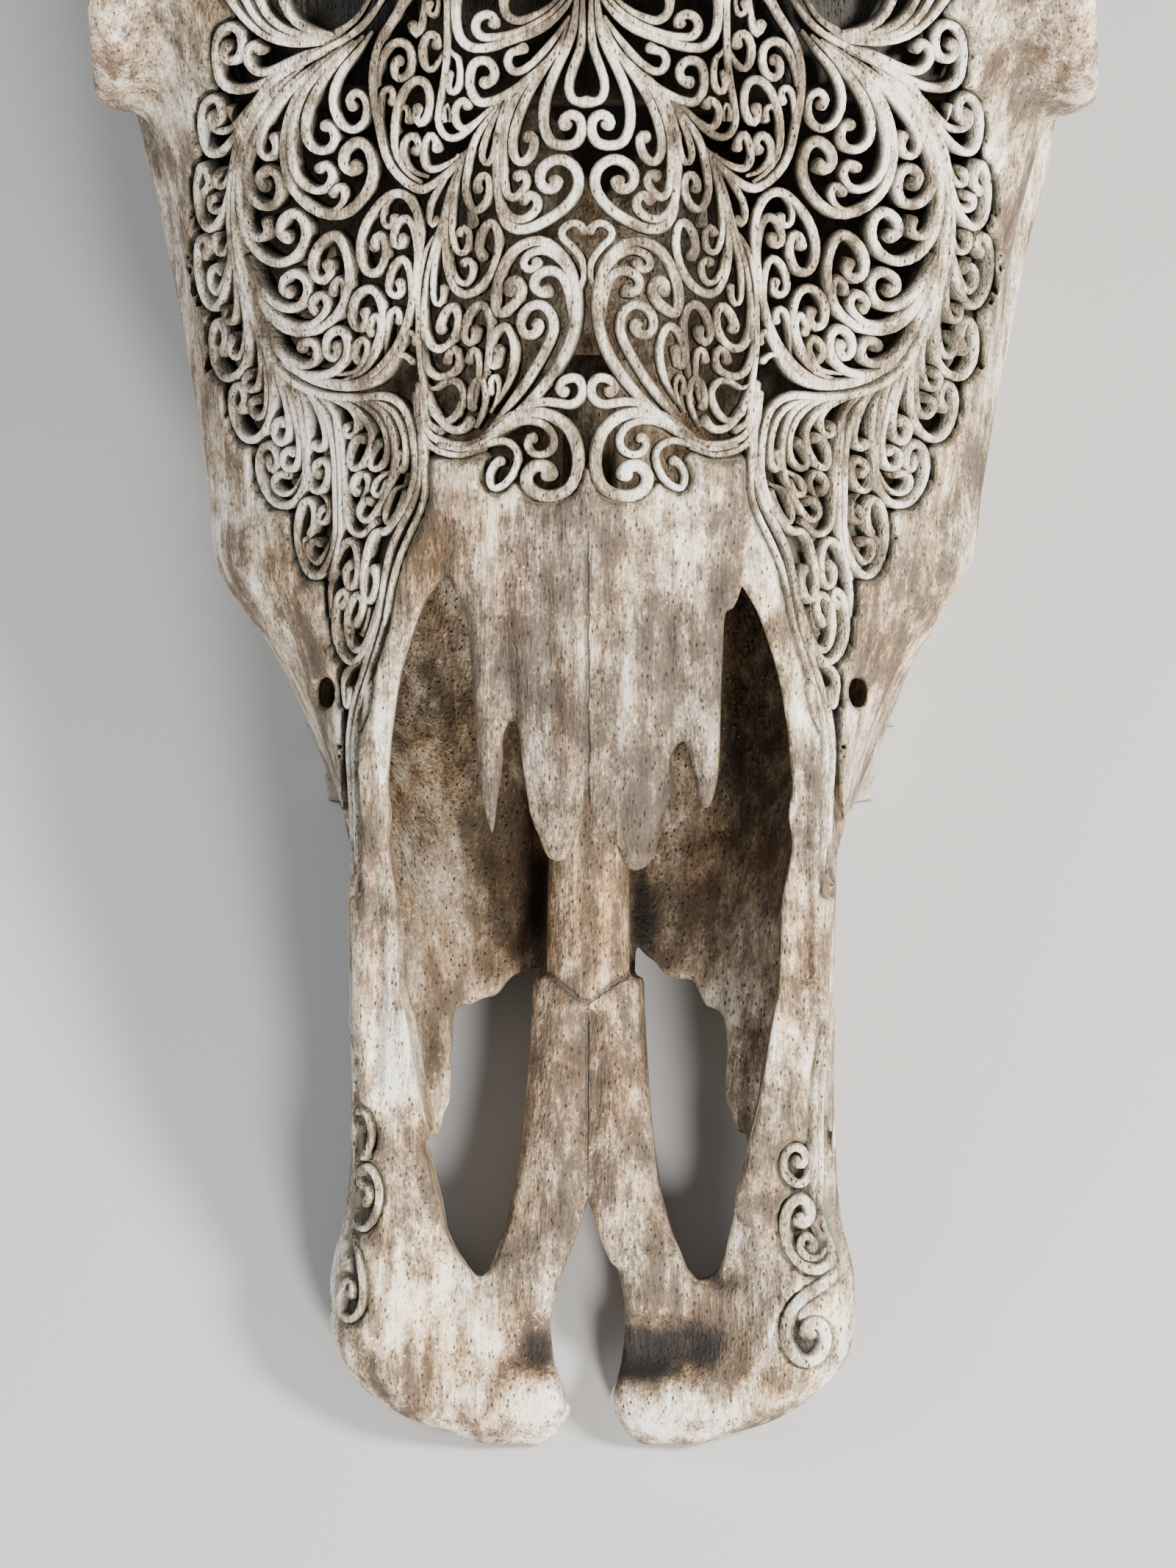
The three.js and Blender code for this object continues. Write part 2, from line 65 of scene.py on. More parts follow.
# The head's outside: v, and then the right half of a section in x and w, from the top to the palate
HEAD_SECTIONS = [
    [40, [0, -27], [20, -27], [38, -27], [45, -28], [48, -31], [49, -36], [46, -42], [38, -44], [0, -44]],
    [58, [0, -20], [20, -20], [38, -21], [46, -23], [49.5, -28], [50, -34], [48, -44], [40, -46], [0, -46]],
    [80, [0, -10], [20, -11], [38, -17], [46, -20], [50, -28], [50, -38], [48.5, -50], [40, -53], [0, -53]],
    [100, [0, -6], [18, -8], [36, -15], [46, -19], [50.5, -28], [50.5, -40], [49, -57], [41, -60], [0, -58]],
    [125, [0, -5], [18, -8], [34, -14], [46, -18], [51, -28], [51.5, -45], [50.5, -65], [43, -68], [0, -65]],
    [145, [0, -2], [18, -6], [32, -11], [46, -17], [52.5, -28], [57, -48], [59, -72], [46, -76], [0, -70]],
    [165, [0, -1], [18, -4], [32, -9], [46, -17], [57, -30], [67, -52], [65, -80], [48, -84], [0, -76]],
    [185, [0, 0], [18, -3], [34, -9], [50, -18], [64, -32], [80, -52], [70, -88], [50, -92], [0, -82]],
    [200, [0, 0], [20, -3], [38, -9], [54, -19], [68, -33], [81, -54], [72, -94], [52, -98], [0, -87]],
    [225, [0, 0], [22, -3], [42, -8], [59, -17], [73, -31], [84, -54], [74, -102], [54, -106], [0, -94]],
    [255, [0, 0], [25, -2], [46, -6], [65, -14], [79, -28], [89, -54], [76, -111], [54, -115], [0, -103]],
    [285, [0, 0], [28, -1], [52, -4], [73, -12], [88, -26], [96, -54], [76, -118], [52, -122], [0, -110]],
    [310, [0, 1], [30, 0], [58, -3], [80, -10], [93, -22], [95, -50], [70, -115], [44, -122], [0, -116]],
    [340, [0, 2], [30, 1], [58, -2], [80, -9], [89, -20], [80, -50], [58, -100], [34, -118], [0, -122]],
    [375, [0, 2], [30, 1], [56, -2], [74, -9], [79, -20], [52, -50], [49, -100], [36, -128], [0, -134]],
    [410, [0, 4], [30, 3], [56, 0], [75, -8], [82, -20], [54, -50], [51, -105], [38, -138], [0, -146]],
    [440, [0, 6], [30, 5], [58, 2], [79, -7], [87, -22], [68, -52], [60, -105], [41, -142], [0, -152]],
    [462, [0, 6], [30, 4], [56, 0], [76, -10], [84, -24], [80, -55], [66, -105], [42, -142], [0, -155]],
    [476, [0, -5], [28, -8], [50, -13], [66, -21], [72, -31], [70, -58], [58, -105], [36, -138], [0, -148]],
]

# Openings of the nose, in x and v. The ones called seen are traced from in front and carried back.
BAR_INNER_EDGE = [[22, 38], [26, 40], [29, 46], [31.5, 56], [34, 66], [35.5, 72], [36.5, 78], [38, 88],
                  [39.5, 96], [40, 104], [40.2, 114], [41.5, 121], [42.3, 127], [41.6, 133], [42.4, 138],
                  [42, 144], [41.3, 151], [39.5, 162], [37, 170], [35, 175.5], [33, 178.8]]
NASAL_RIGHT = [[32.2, 181], [31.2, 178], [29.8, 175.3], [28.5, 174.6], [28, 166], [27.6, 156], [27.2, 143],
               [26.4, 138], [25.4, 134.8], [24, 134], [22.8, 137], [21.5, 143.5], [20.6, 147], [19.6, 148.3],
               [18.4, 147], [17.1, 144], [17.8, 138], [16.2, 134], [15, 129], [13.8, 124.5], [12.6, 122.6],
               [11, 121.5], [9.6, 121], [8, 122], [6.8, 124], [5.8, 126.8], [4.6, 128.4], [2.8, 129.2],
               [1.4, 131.6], [0.6, 134.5], [0, 138]]
NASAL_LEFT = [[-1.2, 132.4], [-2.3, 130], [-3.1, 126.5], [-4.1, 124.1], [-5.6, 123.1], [-7.3, 123.3],
              [-8.7, 124.6], [-9.8, 127.4], [-11.2, 130.8], [-12.1, 134], [-12.9, 139], [-13.6, 144],
              [-14.1, 149], [-14.7, 151.6], [-15.6, 152.6], [-16.6, 151.6], [-17.7, 149], [-17.6, 145.5],
              [-18.1, 141], [-18.9, 136], [-19.4, 132], [-20.1, 128.6], [-21, 131.5], [-22, 136.5],
              [-22.7, 142.5], [-23.3, 150], [-24, 160], [-24.5, 167], [-25.2, 173], [-26.3, 177],
              [-28, 179.8], [-29.4, 182.4]]
SEEN_FISSURE_RIGHT = [
    [23, 35.8], [26, 37], [28.5, 41], [30, 48], [31, 55], [32.5, 60], [33.4, 64], [33, 67], [31.2, 67],
    [30.5, 70], [29.5, 72], [29, 74.5], [28.8, 76], [29, 80], [29.3, 84], [29, 88], [28.5, 91], [27, 92.5],
    [24.5, 93.3], [23.8, 95.2], [23, 96.5], [22, 98.7], [19, 98.8], [16.5, 99.5], [15.5, 100.5],
    [14, 102.5], [12.5, 103.3], [10, 106], [9.5, 96], [10.5, 80], [12, 66], [15.5, 51], [17, 46],
    [19.5, 41], [20.5, 38.5]]
SEEN_FISSURE_LEFT = [
    [-21.5, 37], [-19, 40], [-17, 45], [-15.5, 51], [-12, 66], [-10.5, 80], [-9.5, 96], [-10, 101.5],
    [-13, 100], [-15, 99.7], [-16.5, 98.5], [-17.5, 97], [-19, 95.2], [-21.5, 94.8], [-24, 93.5], [-26, 93.3],
    [-27.5, 92.2], [-28, 90], [-28, 85], [-28.5, 82], [-28, 80], [-28.3, 75], [-28.6, 73], [-29.5, 71.5],
    [-30, 69.5], [-30.6, 66.5], [-32.6, 66.5], [-33, 64], [-32, 60], [-30.5, 52], [-29.5, 46], [-27.5, 42],
    [-25, 39], [-23, 36.5]]
SEEN_TIP_GAP = [
    [0, 53], [1, 50], [3, 44], [5.5, 38], [6.3, 33], [7.3, 25], [7, 19], [6, 15], [4, 12], [2.7, 9.5], [4, 5],
    [7, 1.5], [9, -6], [-9, -6], [-7, 0.5], [-5, 3], [-3.2, 8], [-3.5, 10], [-5, 11], [-5.5, 14], [-7, 18],
    [-8, 26], [-7.3, 31], [-6, 35], [-4, 41], [-1.5, 48]]
EDGE_LEVELS = [(0, 56, 66, 105), (-28, -28, -46, -50)]  # the w of these edges over v

# The front bone: v, inner and outer x, and the w of its inner crest, hollow, outer rim and underside
INCISIVE = [
    [0, 10, 23, -36, -35.5, -35, -38.5],
    [2, 7.5, 29, -33.5, -32.5, -32, -40],
    [5, 5.5, 38, -31, -29.5, -29, -41],
    [9, 3.7, 45, -30, -28.5, -27, -41.5],
    [12.5, 4, 49, -29, -28.5, -26, -42],
    [16, 4.8, 52.2, -29, -30, -25, -42],
    [20, 6, 54.3, -29, -31.5, -24.3, -42],
    [27, 7, 55.5, -29, -31.5, -23.6, -42],
    [33, 6.2, 55.5, -30, -31.5, -23, -42],
    [40, 4.3, 54.5, -31.3, -32, -23, -43],
    [46, 3, 52.8, -33.5, -33, -22.6, -43],
    [51, 8, 51.8, -36, -33, -22.4, -43.5],
    [56, 22, 51, -34, -29, -22.2, -45],
    [62, 33, 50.4, -25, -26, -22, -47],
    [70, 35.5, 49.9, -24, -24, -21.6, -49],
    [80, 37, 49.8, -24, -24, -22, -50],
    [90, 39, 50, -25, -25, -24, -50],
]
# A section of it: shares of its width, and which of those levels
INCISIVE_SECTION = [[0, "inner"], [0.05, "crest"], [0.3, "hollow"], [0.64, "slope"], [0.86, "rim"],
                    [1, "outer"], [0.86, "under"], [0.1, "under"], [0, "inner"]]
# The middle bone of the nose: x of its middle, and v, half width, top and underside of its two parts. A
# section's points are shares of the half width, the drop from the top, and the share of the groove.
MIDDLE_X = -1.2
MIDDLE_RODS = [[38, 19.5, -31, -43], [50, 15.8, -31.8, -44.5], [60, 14.4, -33, -46], [70, 13.3, -35, -48],
               [85, 12.2, -37, -51], [98, 11.6, -38.5, -54]]
MIDDLE_RIDGE = [[92, 8.7, -38, -57], [120, 8.5, -39, -66], [160, 7, -40, -78], [230, 5, -42, -98]]
RIDGE_SECTION = [(0, 0, 1), (0.14, 0, 0.5), (0.42, 0, 0), (0.7, 0.8, 0), (0.9, 2.2, 0), (1, 4.5, 0)]
RODS_GROOVE = 2.2  # depth of the groove between its two front rods
# Levels of w between which openings are cut
APERTURE_FLOOR = -44
BELOW_PALATE = -90
ABOVE_FACE = 40
# Grooves in the outer surface: x, v, radius and depth
GROOVES = [[[0, 139, 0.9, 0.8], [0.6, 145, 0.9, 0.6], [-0.5, 151, 0.8, 0.4], [0.4, 158, 0.8, 0.5],
            [-0.6, 166, 0.8, 0.4], [0.3, 173, 0.8, 0.5], [-0.3, 183, 0.8, 0.4], [0, 196, 0.7, 0.4]],
           [[-15.8, 153, 1.8, 1.3], [-16.6, 162, 1.8, 1.1], [-17.4, 174, 1.8, 1.0], [-18.2, 190, 1.7, 0.7]],
           [[19.6, 149, 1.7, 1.3], [18.8, 156, 1.7, 1.1], [17.4, 164, 1.6, 0.8], [16.8, 176, 1.6, 0.5]],
           [[-10.5, 180, 2.2, 0.8], [-8, 166, 2.4, 0.8], [-7.5, 150, 2.2, 0.6]],
           [[9.5, 176, 2.2, 0.6], [12.5, 160, 2.2, 0.9], [13.5, 146, 2.0, 0.7]],
           [[45.5, 98, 1.6, 0.7], [44.6, 120, 1.7, 0.9], [44.5, 142, 1.6, 0.7]],
           [[-45, 76, 1.6, 0.6], [-44.4, 96, 1.7, 0.9], [-44.8, 124, 1.6, 0.7]]]
# Low rounded ridges on it, the same way with their height: on both sides, and on the nasal bones
BAR_RIDGE = [[46.5, 62, 5, 1.2], [45.5, 80, 5, 1.6], [45.5, 100, 4.6, 1.9], [46, 120, 4.6, 1.9],
             [45.8, 140, 5, 1.4], [43.5, 160, 5, 0.8], [40, 172, 4, 0.3]]
NASAL_RIDGES = [[[-20.4, 134, 1.6, 0.5], [-20.8, 145, 2.4, 0.9], [-20.8, 160, 2.6, 0.9],
                [-21.5, 184, 2.6, 0.4]], [[25, 139, 2.0, 0.8], [24.4, 150, 2.6, 0.9], [24, 165, 3, 0.8],
                [23, 184, 3, 0.4]], [[-6.2, 127, 3.2, 0.6], [-7, 140, 4.4, 0.8], [-7, 158, 5, 0.4]],
                [[10.5, 126, 3.6, 0.6], [9, 140, 4.6, 0.8], [5, 158, 5, 0.7], [4, 175, 5, 0.3]]]
# Dents and small holes: which sides, middle and radii
DENTS = [((1,), (12.5, 21.6, -26), (18, 7.6, 8.6)), ((1,), (12, 42.5, -29), (1.2, 1.3, 4)),
         ((-1,), (11.5, 21.6, -26), (14, 7.4, 7.6)), ((1,), (27, 36.5, -26), (7, 5, 7)),
         ((-1,), (48, 17.5, -22), (3.5, 4, 5)), ((1, -1), (55.9, 158.5, -36), (2.0, 3.5, 15))]
ROUGHNESS = [(1.7, (26, 38, 26), 3), (0.8, (8, 14, 9), 4)]  # amount, size of the lumps, and seed

# Forms of the back of the head. Rods are x, v, w and radius, unless they say otherwise.
ORBIT_V = 321.0
ORBIT_W = -46.0
ORBIT_SIDES = 36
ORBIT_CUP = [[66, 30, 26], [88, 36, 32], [100, 39.5, 35.5], [106, 37, 33]]  # x, and radii over v and w
ORBIT_HOLLOW = (109.0, ORBIT_V, ORBIT_W)
ORBIT_HOLLOW_RADII = (43.0, 31.0, 28.0)
# The hollow behind the forehead: v, half width, top and underside
SINUS = [[276, 44, -5, -40], [305, 50, -5, -40], [340, 52, -4, -36], [380, 50, -4, -32], [420, 40, -4, -26]]
REAR_NOSTRIL = [[0, 262, -84, 14], [0, 292, -100, 16], [0, 330, -130, 15]]
CHEEK_ARCH = [[92, 296, -74, 9], [99, 325, -82, 8], [95, 360, -87, 6], [86, 398, -93, 6], [64, 434, -98, 9]]
CHEEK_RIDGE = [[94, 300, -74, 9], [87, 262, -70, 7], [80, 228, -62, 6], [73, 196, -54, 6]]
HORN_CORE = [[60, 446, -27, 27], [92, 453, -26, 24], [125, 461, -19, 18], [158, 471, -7, 11],
             [182, 481, 6, 4]]
HORN_SHEATH = [[93, 453.2, -25.8, 31], [125, 461, -19, 29], [158, 471, -7, 25.5], [189, 486, 11, 20],
               [211, 506, 32, 14], [222, 528, 54, 8], [222, 548, 74, 2]]
NECK_CREST = [[0, 474, -24, 6], [0, 477, -60, 5], [0, 475, -100, 4]]
NECK_HOLLOW = (32.0, 488.0, -68.0)
NECK_HOLLOW_RADII = (25.0, 14.0, 34.0)
CONDYLE = (23.0, 478.0, -146.0)
CONDYLE_RADII = (15.0, 16.0, 20.0)
BULLA = (38.0, 428.0, -150.0)
BULLA_RADII = (14.0, 22.0, 18.0)
BRAIN = (0.0, 400.0, -85.0)
BRAIN_RADII = (33.0, 50.0, 36.0)
SPINAL_HOLE = [[0, 500, -140, 17], [0, 460, -136, 17], [0, 425, -112, 15]]
BASE_ROD = [[0, 472, -150, 20], [0, 430, -150, 19], [0, 380, -140, 15], [0, 350, -128, 12]]
JUGULAR = [[48, 452, -136, 16], [47.5, 455, -150, 13.5], [46, 456, -162, 10.5], [44, 454.5, -173, 7.5],
           [42.5, 452, -181.2, 4.6]]
PALATE_WING = [[30, 288, -112, 6], [28, 315, -124, 5], [25, 345, -134, 4.5]]

# The carving's strokes on the right half, each a width and then x and v along its middle line, as seen
# from in front. They run from the root to the eye of the volute.
CENTRE_STROKES = [
    [1.9, 0.9, 303, 0.9, 297, 1.2, 292.5, 2.4, 289, 3.5, 286, 3.8, 283.4, 3.0, 281.3, 1.4, 280.6, 0, 280.7],
    [2.2, 2.0, 303, 2.6, 297, 4.0, 292.5, 6.2, 288, 7.9, 284, 9.0, 280, 9.0, 275.5, 7.6, 272.4, 5.0, 271.5,
     2.3, 272.2, 1.0, 274.6, 1.5, 277.1, 3.3, 278, 4.7, 276.9, 4.4, 275.8],
    [2.0, 3.4, 298, 5.2, 293, 8.2, 288.5, 11, 284.5, 13, 281, 14.6, 277, 15.6, 272.8, 15.3, 269.6,
     13.8, 268.1, 12, 269.3, 11.1, 271.6, 11.3, 273.3, 12.3, 273.3],
    [1.9, 8, 290.5, 11, 286.7, 13.8, 283, 15.8, 279, 17.2, 274, 17.5, 268.5, 17.3, 263.8, 16.6, 261.4,
     15.2, 260.9, 13.6, 262, 12.6, 264, 13.1, 265.5, 14.5, 265.2],
    [2.0, 12, 286.5, 15.6, 282.3, 17.5, 278, 18.7, 272.5, 18.9, 266, 18.5, 261, 17.2, 257.8, 15, 256.3,
     12.5, 256.6, 10.6, 258.4, 10.5, 260.3, 11.8, 261.3, 13.3, 260.3],
    [2.3, 18.8, 263, 18.3, 258.5, 17, 255.6, 14.4, 254.2, 11.5, 254.6, 8, 256.4, 5, 258.4, 2.6, 261.2,
     1.7, 264, 2.5, 266.8, 4.8, 268.5, 7.3, 268.4, 9.5, 266.6, 9.8, 264.2, 8.6, 262.7, 7, 262.9, 6.5, 264.2],
    [1.6, 16.5, 281.5, 19.2, 277.5, 21, 273.5, 21.9, 270, 21.2, 268, 20, 268.6, 19.2, 271, 18.6, 274],
    [1.8, 17.5, 281, 20.6, 277, 23.2, 273, 24.6, 268.5, 25.4, 263.5, 25, 260.3, 23.5, 258.3, 21.6, 259.3,
     20.4, 262, 20.6, 264.8, 21.9, 265.4, 22.9, 264, 22.7, 262.6],
    [2.2, 24.8, 261, 24.3, 257.5, 24, 255.6],
    [2.0, 2.4, 297, 4.4, 293, 7, 290, 10, 287.2, 13.5, 284.2, 17, 282, 20, 280.7, 22.4, 280.6, 24, 282.4,
     24.5, 285.4, 23.8, 288.2, 22.2, 289.2, 20.3, 288.8, 19.2, 287, 19.8, 285.2, 21.4, 284.6],
    [1.8, 3.8, 298, 6.2, 294.4, 9, 291, 11.5, 288.4, 13.8, 287, 15.6, 287.2, 16.5, 289, 15.8, 290.8,
     14.2, 291.3, 13.1, 291.8],
    [2.1, 3.2, 302, 5.6, 299, 9, 296.3, 13, 294.4, 17, 293, 21, 291.8, 24.2, 292, 26.4, 294, 27.3, 297.5,
     27.4, 303],
    [2.0, 4.6, 302, 7.6, 298.8, 11.5, 296.2, 15.5, 294.6, 19.3, 293.9, 22, 294.2, 23.2, 296, 22.6, 298,
     20.8, 298.8, 19.3, 298, 19.3, 296.8],
    [1.9, 6, 302, 8.5, 299.8, 11.4, 298.2, 14.2, 297.4, 16.4, 298.4, 17.3, 300.4, 17.2, 303],
]

MIDDLE_STROKES = [
    [1.6, 17.5, 281.6, 21, 278.4, 24.5, 275, 27.5, 273.2, 29.8, 273.8, 31, 276.5, 30.7, 280, 29.9, 284.5,
     29.3, 289, 29.1, 295, 29, 303],
    [1.7, 19.5, 279.7, 23, 276.6, 25.4, 275.1, 27, 276, 27.6, 278.3, 26.8, 280.3, 25.4, 280.9, 24.8, 279.8],
    [1.7, 29.2, 293, 28.4, 291, 26.9, 289.6, 26.3, 286.6, 26.7, 283.8, 28, 282.6, 28.8, 284, 28.7, 286.4],
    [1.3, 28.6, 276.8, 28.5, 278.8, 29.2, 280.2, 29.8, 278.8, 29.8, 277],
    [1.9, 29.5, 291.5, 31, 288.7, 32.8, 287.4, 34.1, 289.2, 34.2, 292.2, 33, 294.5, 31.4, 294.2, 31.2, 292.4],
    [1.6, 31, 303, 31, 300.3, 31.8, 298.6, 33, 299.4, 32.8, 301],
    [1.9, 33.8, 303, 34, 299.5, 34.7, 295.6, 35.6, 294.8, 36.2, 296.6],
    [2.0, 24, 271.5, 27.5, 267.3, 31, 264.2, 34, 262.6, 36.5, 263, 39.3, 265.2, 41.4, 268, 42.6, 271.5,
     43.4, 275.5, 44.3, 280, 44.7, 285, 44.1, 290, 42.6, 294.3, 40.2, 298, 37.5, 303],
    [1.9, 35, 264, 37.8, 266.2, 39.7, 269.6, 40.3, 273.2, 40.1, 277, 39.3, 280.5, 38, 283.3, 36.1, 285,
     34.1, 284.8, 32.9, 282.8, 32.7, 279.8, 33.5, 277.3, 34.8, 276.2, 35.6, 277.6, 35.2, 279.3],
    [1.6, 40, 275.5, 39.7, 278, 38.5, 279.6, 37.3, 278.8, 37.1, 276.8],
    [1.6, 43.1, 276, 43.2, 279.5, 42.6, 282.5, 41.4, 283.4, 40.4, 282.2, 40.7, 280.5],
    [1.9, 43.8, 284, 43.2, 287.6, 42.2, 290.6, 40.6, 292.6, 38.6, 293, 36.9, 291.6, 36.5, 289, 37.2, 286.6,
     38.8, 285.5, 40.1, 286.5, 40, 288.6, 39, 289.2],
    [1.8, 33.6, 265.2, 36.2, 266.2, 38.1, 268.6, 38.4, 271.3, 37.4, 273.2, 36, 273.4, 35.1, 271.8,
     35.8, 270.4],
    [1.7, 24.8, 270.6, 28, 268.3, 31, 266.8, 33.2, 266.9, 34.2, 269, 33.8, 272, 32.7, 273.8, 31.6, 272.8,
     31.3, 270.9],
    [1.9, 26, 269, 28.5, 261.5, 29.5, 256, 29.6, 250, 29.1, 245.5, 27.6, 241.8, 25.5, 240.7, 22.8, 241.8,
     20.4, 244.6, 19, 248, 18.5, 252, 19.2, 255, 20.6, 255.5, 22.2, 253.4, 22.7, 250.4, 21.8, 248.6],
    [1.5, 28.8, 250, 28.3, 246, 27, 243.6, 25.4, 243, 24.2, 244.4, 23.9, 246.6, 24.8, 247.8, 25.8, 247.2],
    [1.5, 25.4, 270, 27.6, 262, 28.2, 256, 28, 252, 27, 249.6, 25.6, 249.5, 24.7, 251.3, 24.8, 253.6,
     25.8, 254.6, 26.6, 253.4],
    [1.3, 26.5, 268, 29.3, 257.5, 30.6, 252, 31.8, 247.5, 32.3, 243, 32, 239.5, 31, 238.6, 30.2, 240,
     30, 242.2],
    [1.5, 27, 269.5, 29.4, 265, 31.4, 262, 32.7, 259.5, 33, 256.8, 32.3, 255.2, 31.3, 256.2],
    [1.2, 26.3, 269, 28.6, 262.5, 30.3, 256, 32, 250.5, 33.3, 245.5, 34.1, 240, 34.3, 235, 34.2, 231.5],
    [1.9, 33.8, 243, 34.4, 238, 34.2, 233.6, 33, 230.4, 31.2, 229.4, 29, 230.4, 27.4, 233, 27, 236.2,
     28.2, 238.2, 29.8, 237, 30.8, 234.6, 30.6, 233.4],
    [1.5, 31, 254, 33.6, 250, 35.2, 243, 35.4, 236, 35.4, 230, 34.9, 225, 34.3, 220, 33.6, 214.5, 31, 212.5],
    [1.7, 34.8, 232, 34.4, 228, 33.4, 225, 31.6, 223.7, 29.4, 223.9, 27.4, 225.4, 26.9, 227.8, 27.7, 229.4,
     29, 228.4, 29.3, 226.9],
    [1.5, 24, 217.5, 23, 222, 22.6, 226, 23.2, 229, 24.4, 228.8, 24.8, 227],
    [1.6, 23.6, 213.5, 21.9, 217, 21.4, 220.6, 22.2, 223.2, 23.8, 222.4, 24.6, 219.8, 24.3, 217.4],
    [1.3, 20.4, 216.5, 19, 219, 18.5, 221.8, 19.2, 223.8, 20.2, 222.8, 20.3, 220.4],
    [1.8, 34.6, 224, 33.6, 219, 31.8, 215.6, 29.2, 213, 26.6, 212.8, 24.6, 214.6],
    [1.7, 34.2, 222, 32.4, 221.2, 30, 222.6, 27.6, 222.6, 26, 220.4, 26.6, 217.6, 28.2, 215.2, 30.2, 214.4,
     32.4, 216.4],
]

HEART_STROKES = [
    [1.6, 3, 240, 1, 243.5, 0.8, 247, 2.6, 250, 4.9, 252.2, 5.2, 254, 3.6, 255.4, 1.8, 255.3, 0.6, 254],
    [2.4, 26, 209, 20, 211.6, 14.5, 216, 9.5, 221.2, 5.4, 227, 2.9, 233, 2.2, 239, 3, 244.6, 5.2, 248.8,
     8.6, 251.4, 12.4, 251.4, 16, 249, 18.3, 244.6, 19.2, 239.6, 18.6, 236.9, 16.6, 237.5, 14.4, 239.6,
     13.6, 242, 14.8, 243.6, 16.2, 242.8, 15.8, 241.4],
    [1.9, 2.8, 236, 2.8, 241, 3.8, 245.4, 6.4, 248.7, 9.6, 249.9, 12.4, 248.8, 13.2, 247, 12.2, 245.9,
     10.9, 246.3, 10.5, 247.4],
    [2.2, 3.3, 234, 3.6, 239, 4.2, 242.6, 5.6, 244.9, 8, 245.7, 10.4, 244.6, 11.1, 242.6, 9.8, 241.2,
     8.2, 241.5],
    [2.1, 20, 213.6, 15, 219.5, 11.4, 224.6, 8.6, 229.4, 7, 233.4, 7.6, 236.8, 9.8, 238.6, 12.4, 237.9,
     13.9, 235.4, 13.3, 232.8, 11.4, 232.4, 10.2, 233.6, 10.4, 234.6],
    [1.9, 19, 218.5, 16.6, 222.5, 15.3, 227, 15.4, 231, 17, 234, 19.2, 232.8, 20.4, 229.2, 20.4, 226.4,
     19.2, 226, 18.7, 227.8, 18.6, 229.4],
    [1.9, 22, 221, 21, 226, 20.3, 231, 20.2, 235.4, 21.4, 238.2, 23.4, 238.3, 25.2, 235.8, 25.8, 232.4,
     24.8, 230.6, 23.6, 231.8, 23.4, 233.4],
    [2.0, 24, 209.6, 19, 212.6, 14.6, 216.2, 11, 218.2, 7, 218.4, 3.6, 217.9, 1.3, 219.4, 1, 221.8,
     2.5, 223.4, 4.8, 223, 5.8, 221.4, 4.8, 220.4],
    [2.7, 22, 211.4, 17, 214.9, 12, 216.2, 7.4, 215.6, 3.9, 213, 2.2, 209, 2, 204.6, 3.4, 201, 6.4, 199.1,
     9.8, 199, 12.4, 200.8, 12.7, 203.4, 10.9, 205.2, 8.7, 204.9, 8, 203.4],
    [1.7, 22, 209.6, 17.5, 213, 13, 214.6, 9.2, 213.9, 7.2, 211.6, 7.2, 209.2, 9, 207.6, 11.2, 207.7,
     12.5, 209.3, 12, 210.9, 11.3, 211],
    [1.6, 26, 207.6, 21.6, 209.6, 17.8, 210.4, 15.2, 209, 14.5, 206.6, 15.6, 203.4, 17.6, 201.2, 19.8, 200.6,
     20.6, 203, 19.6, 205.4, 18.2, 206.3],
    [1.8, 20, 212, 25, 209.6, 30, 209.8, 33.4, 212, 34.8, 216, 35.2, 221],
    [1.6, 22, 208.8, 27, 207.4, 32, 208.6, 34.6, 211.4, 35.8, 215.6, 36, 220],
    [1.3, 16, 214.6, 21, 210.6, 26, 208.6, 31, 209.6],
]

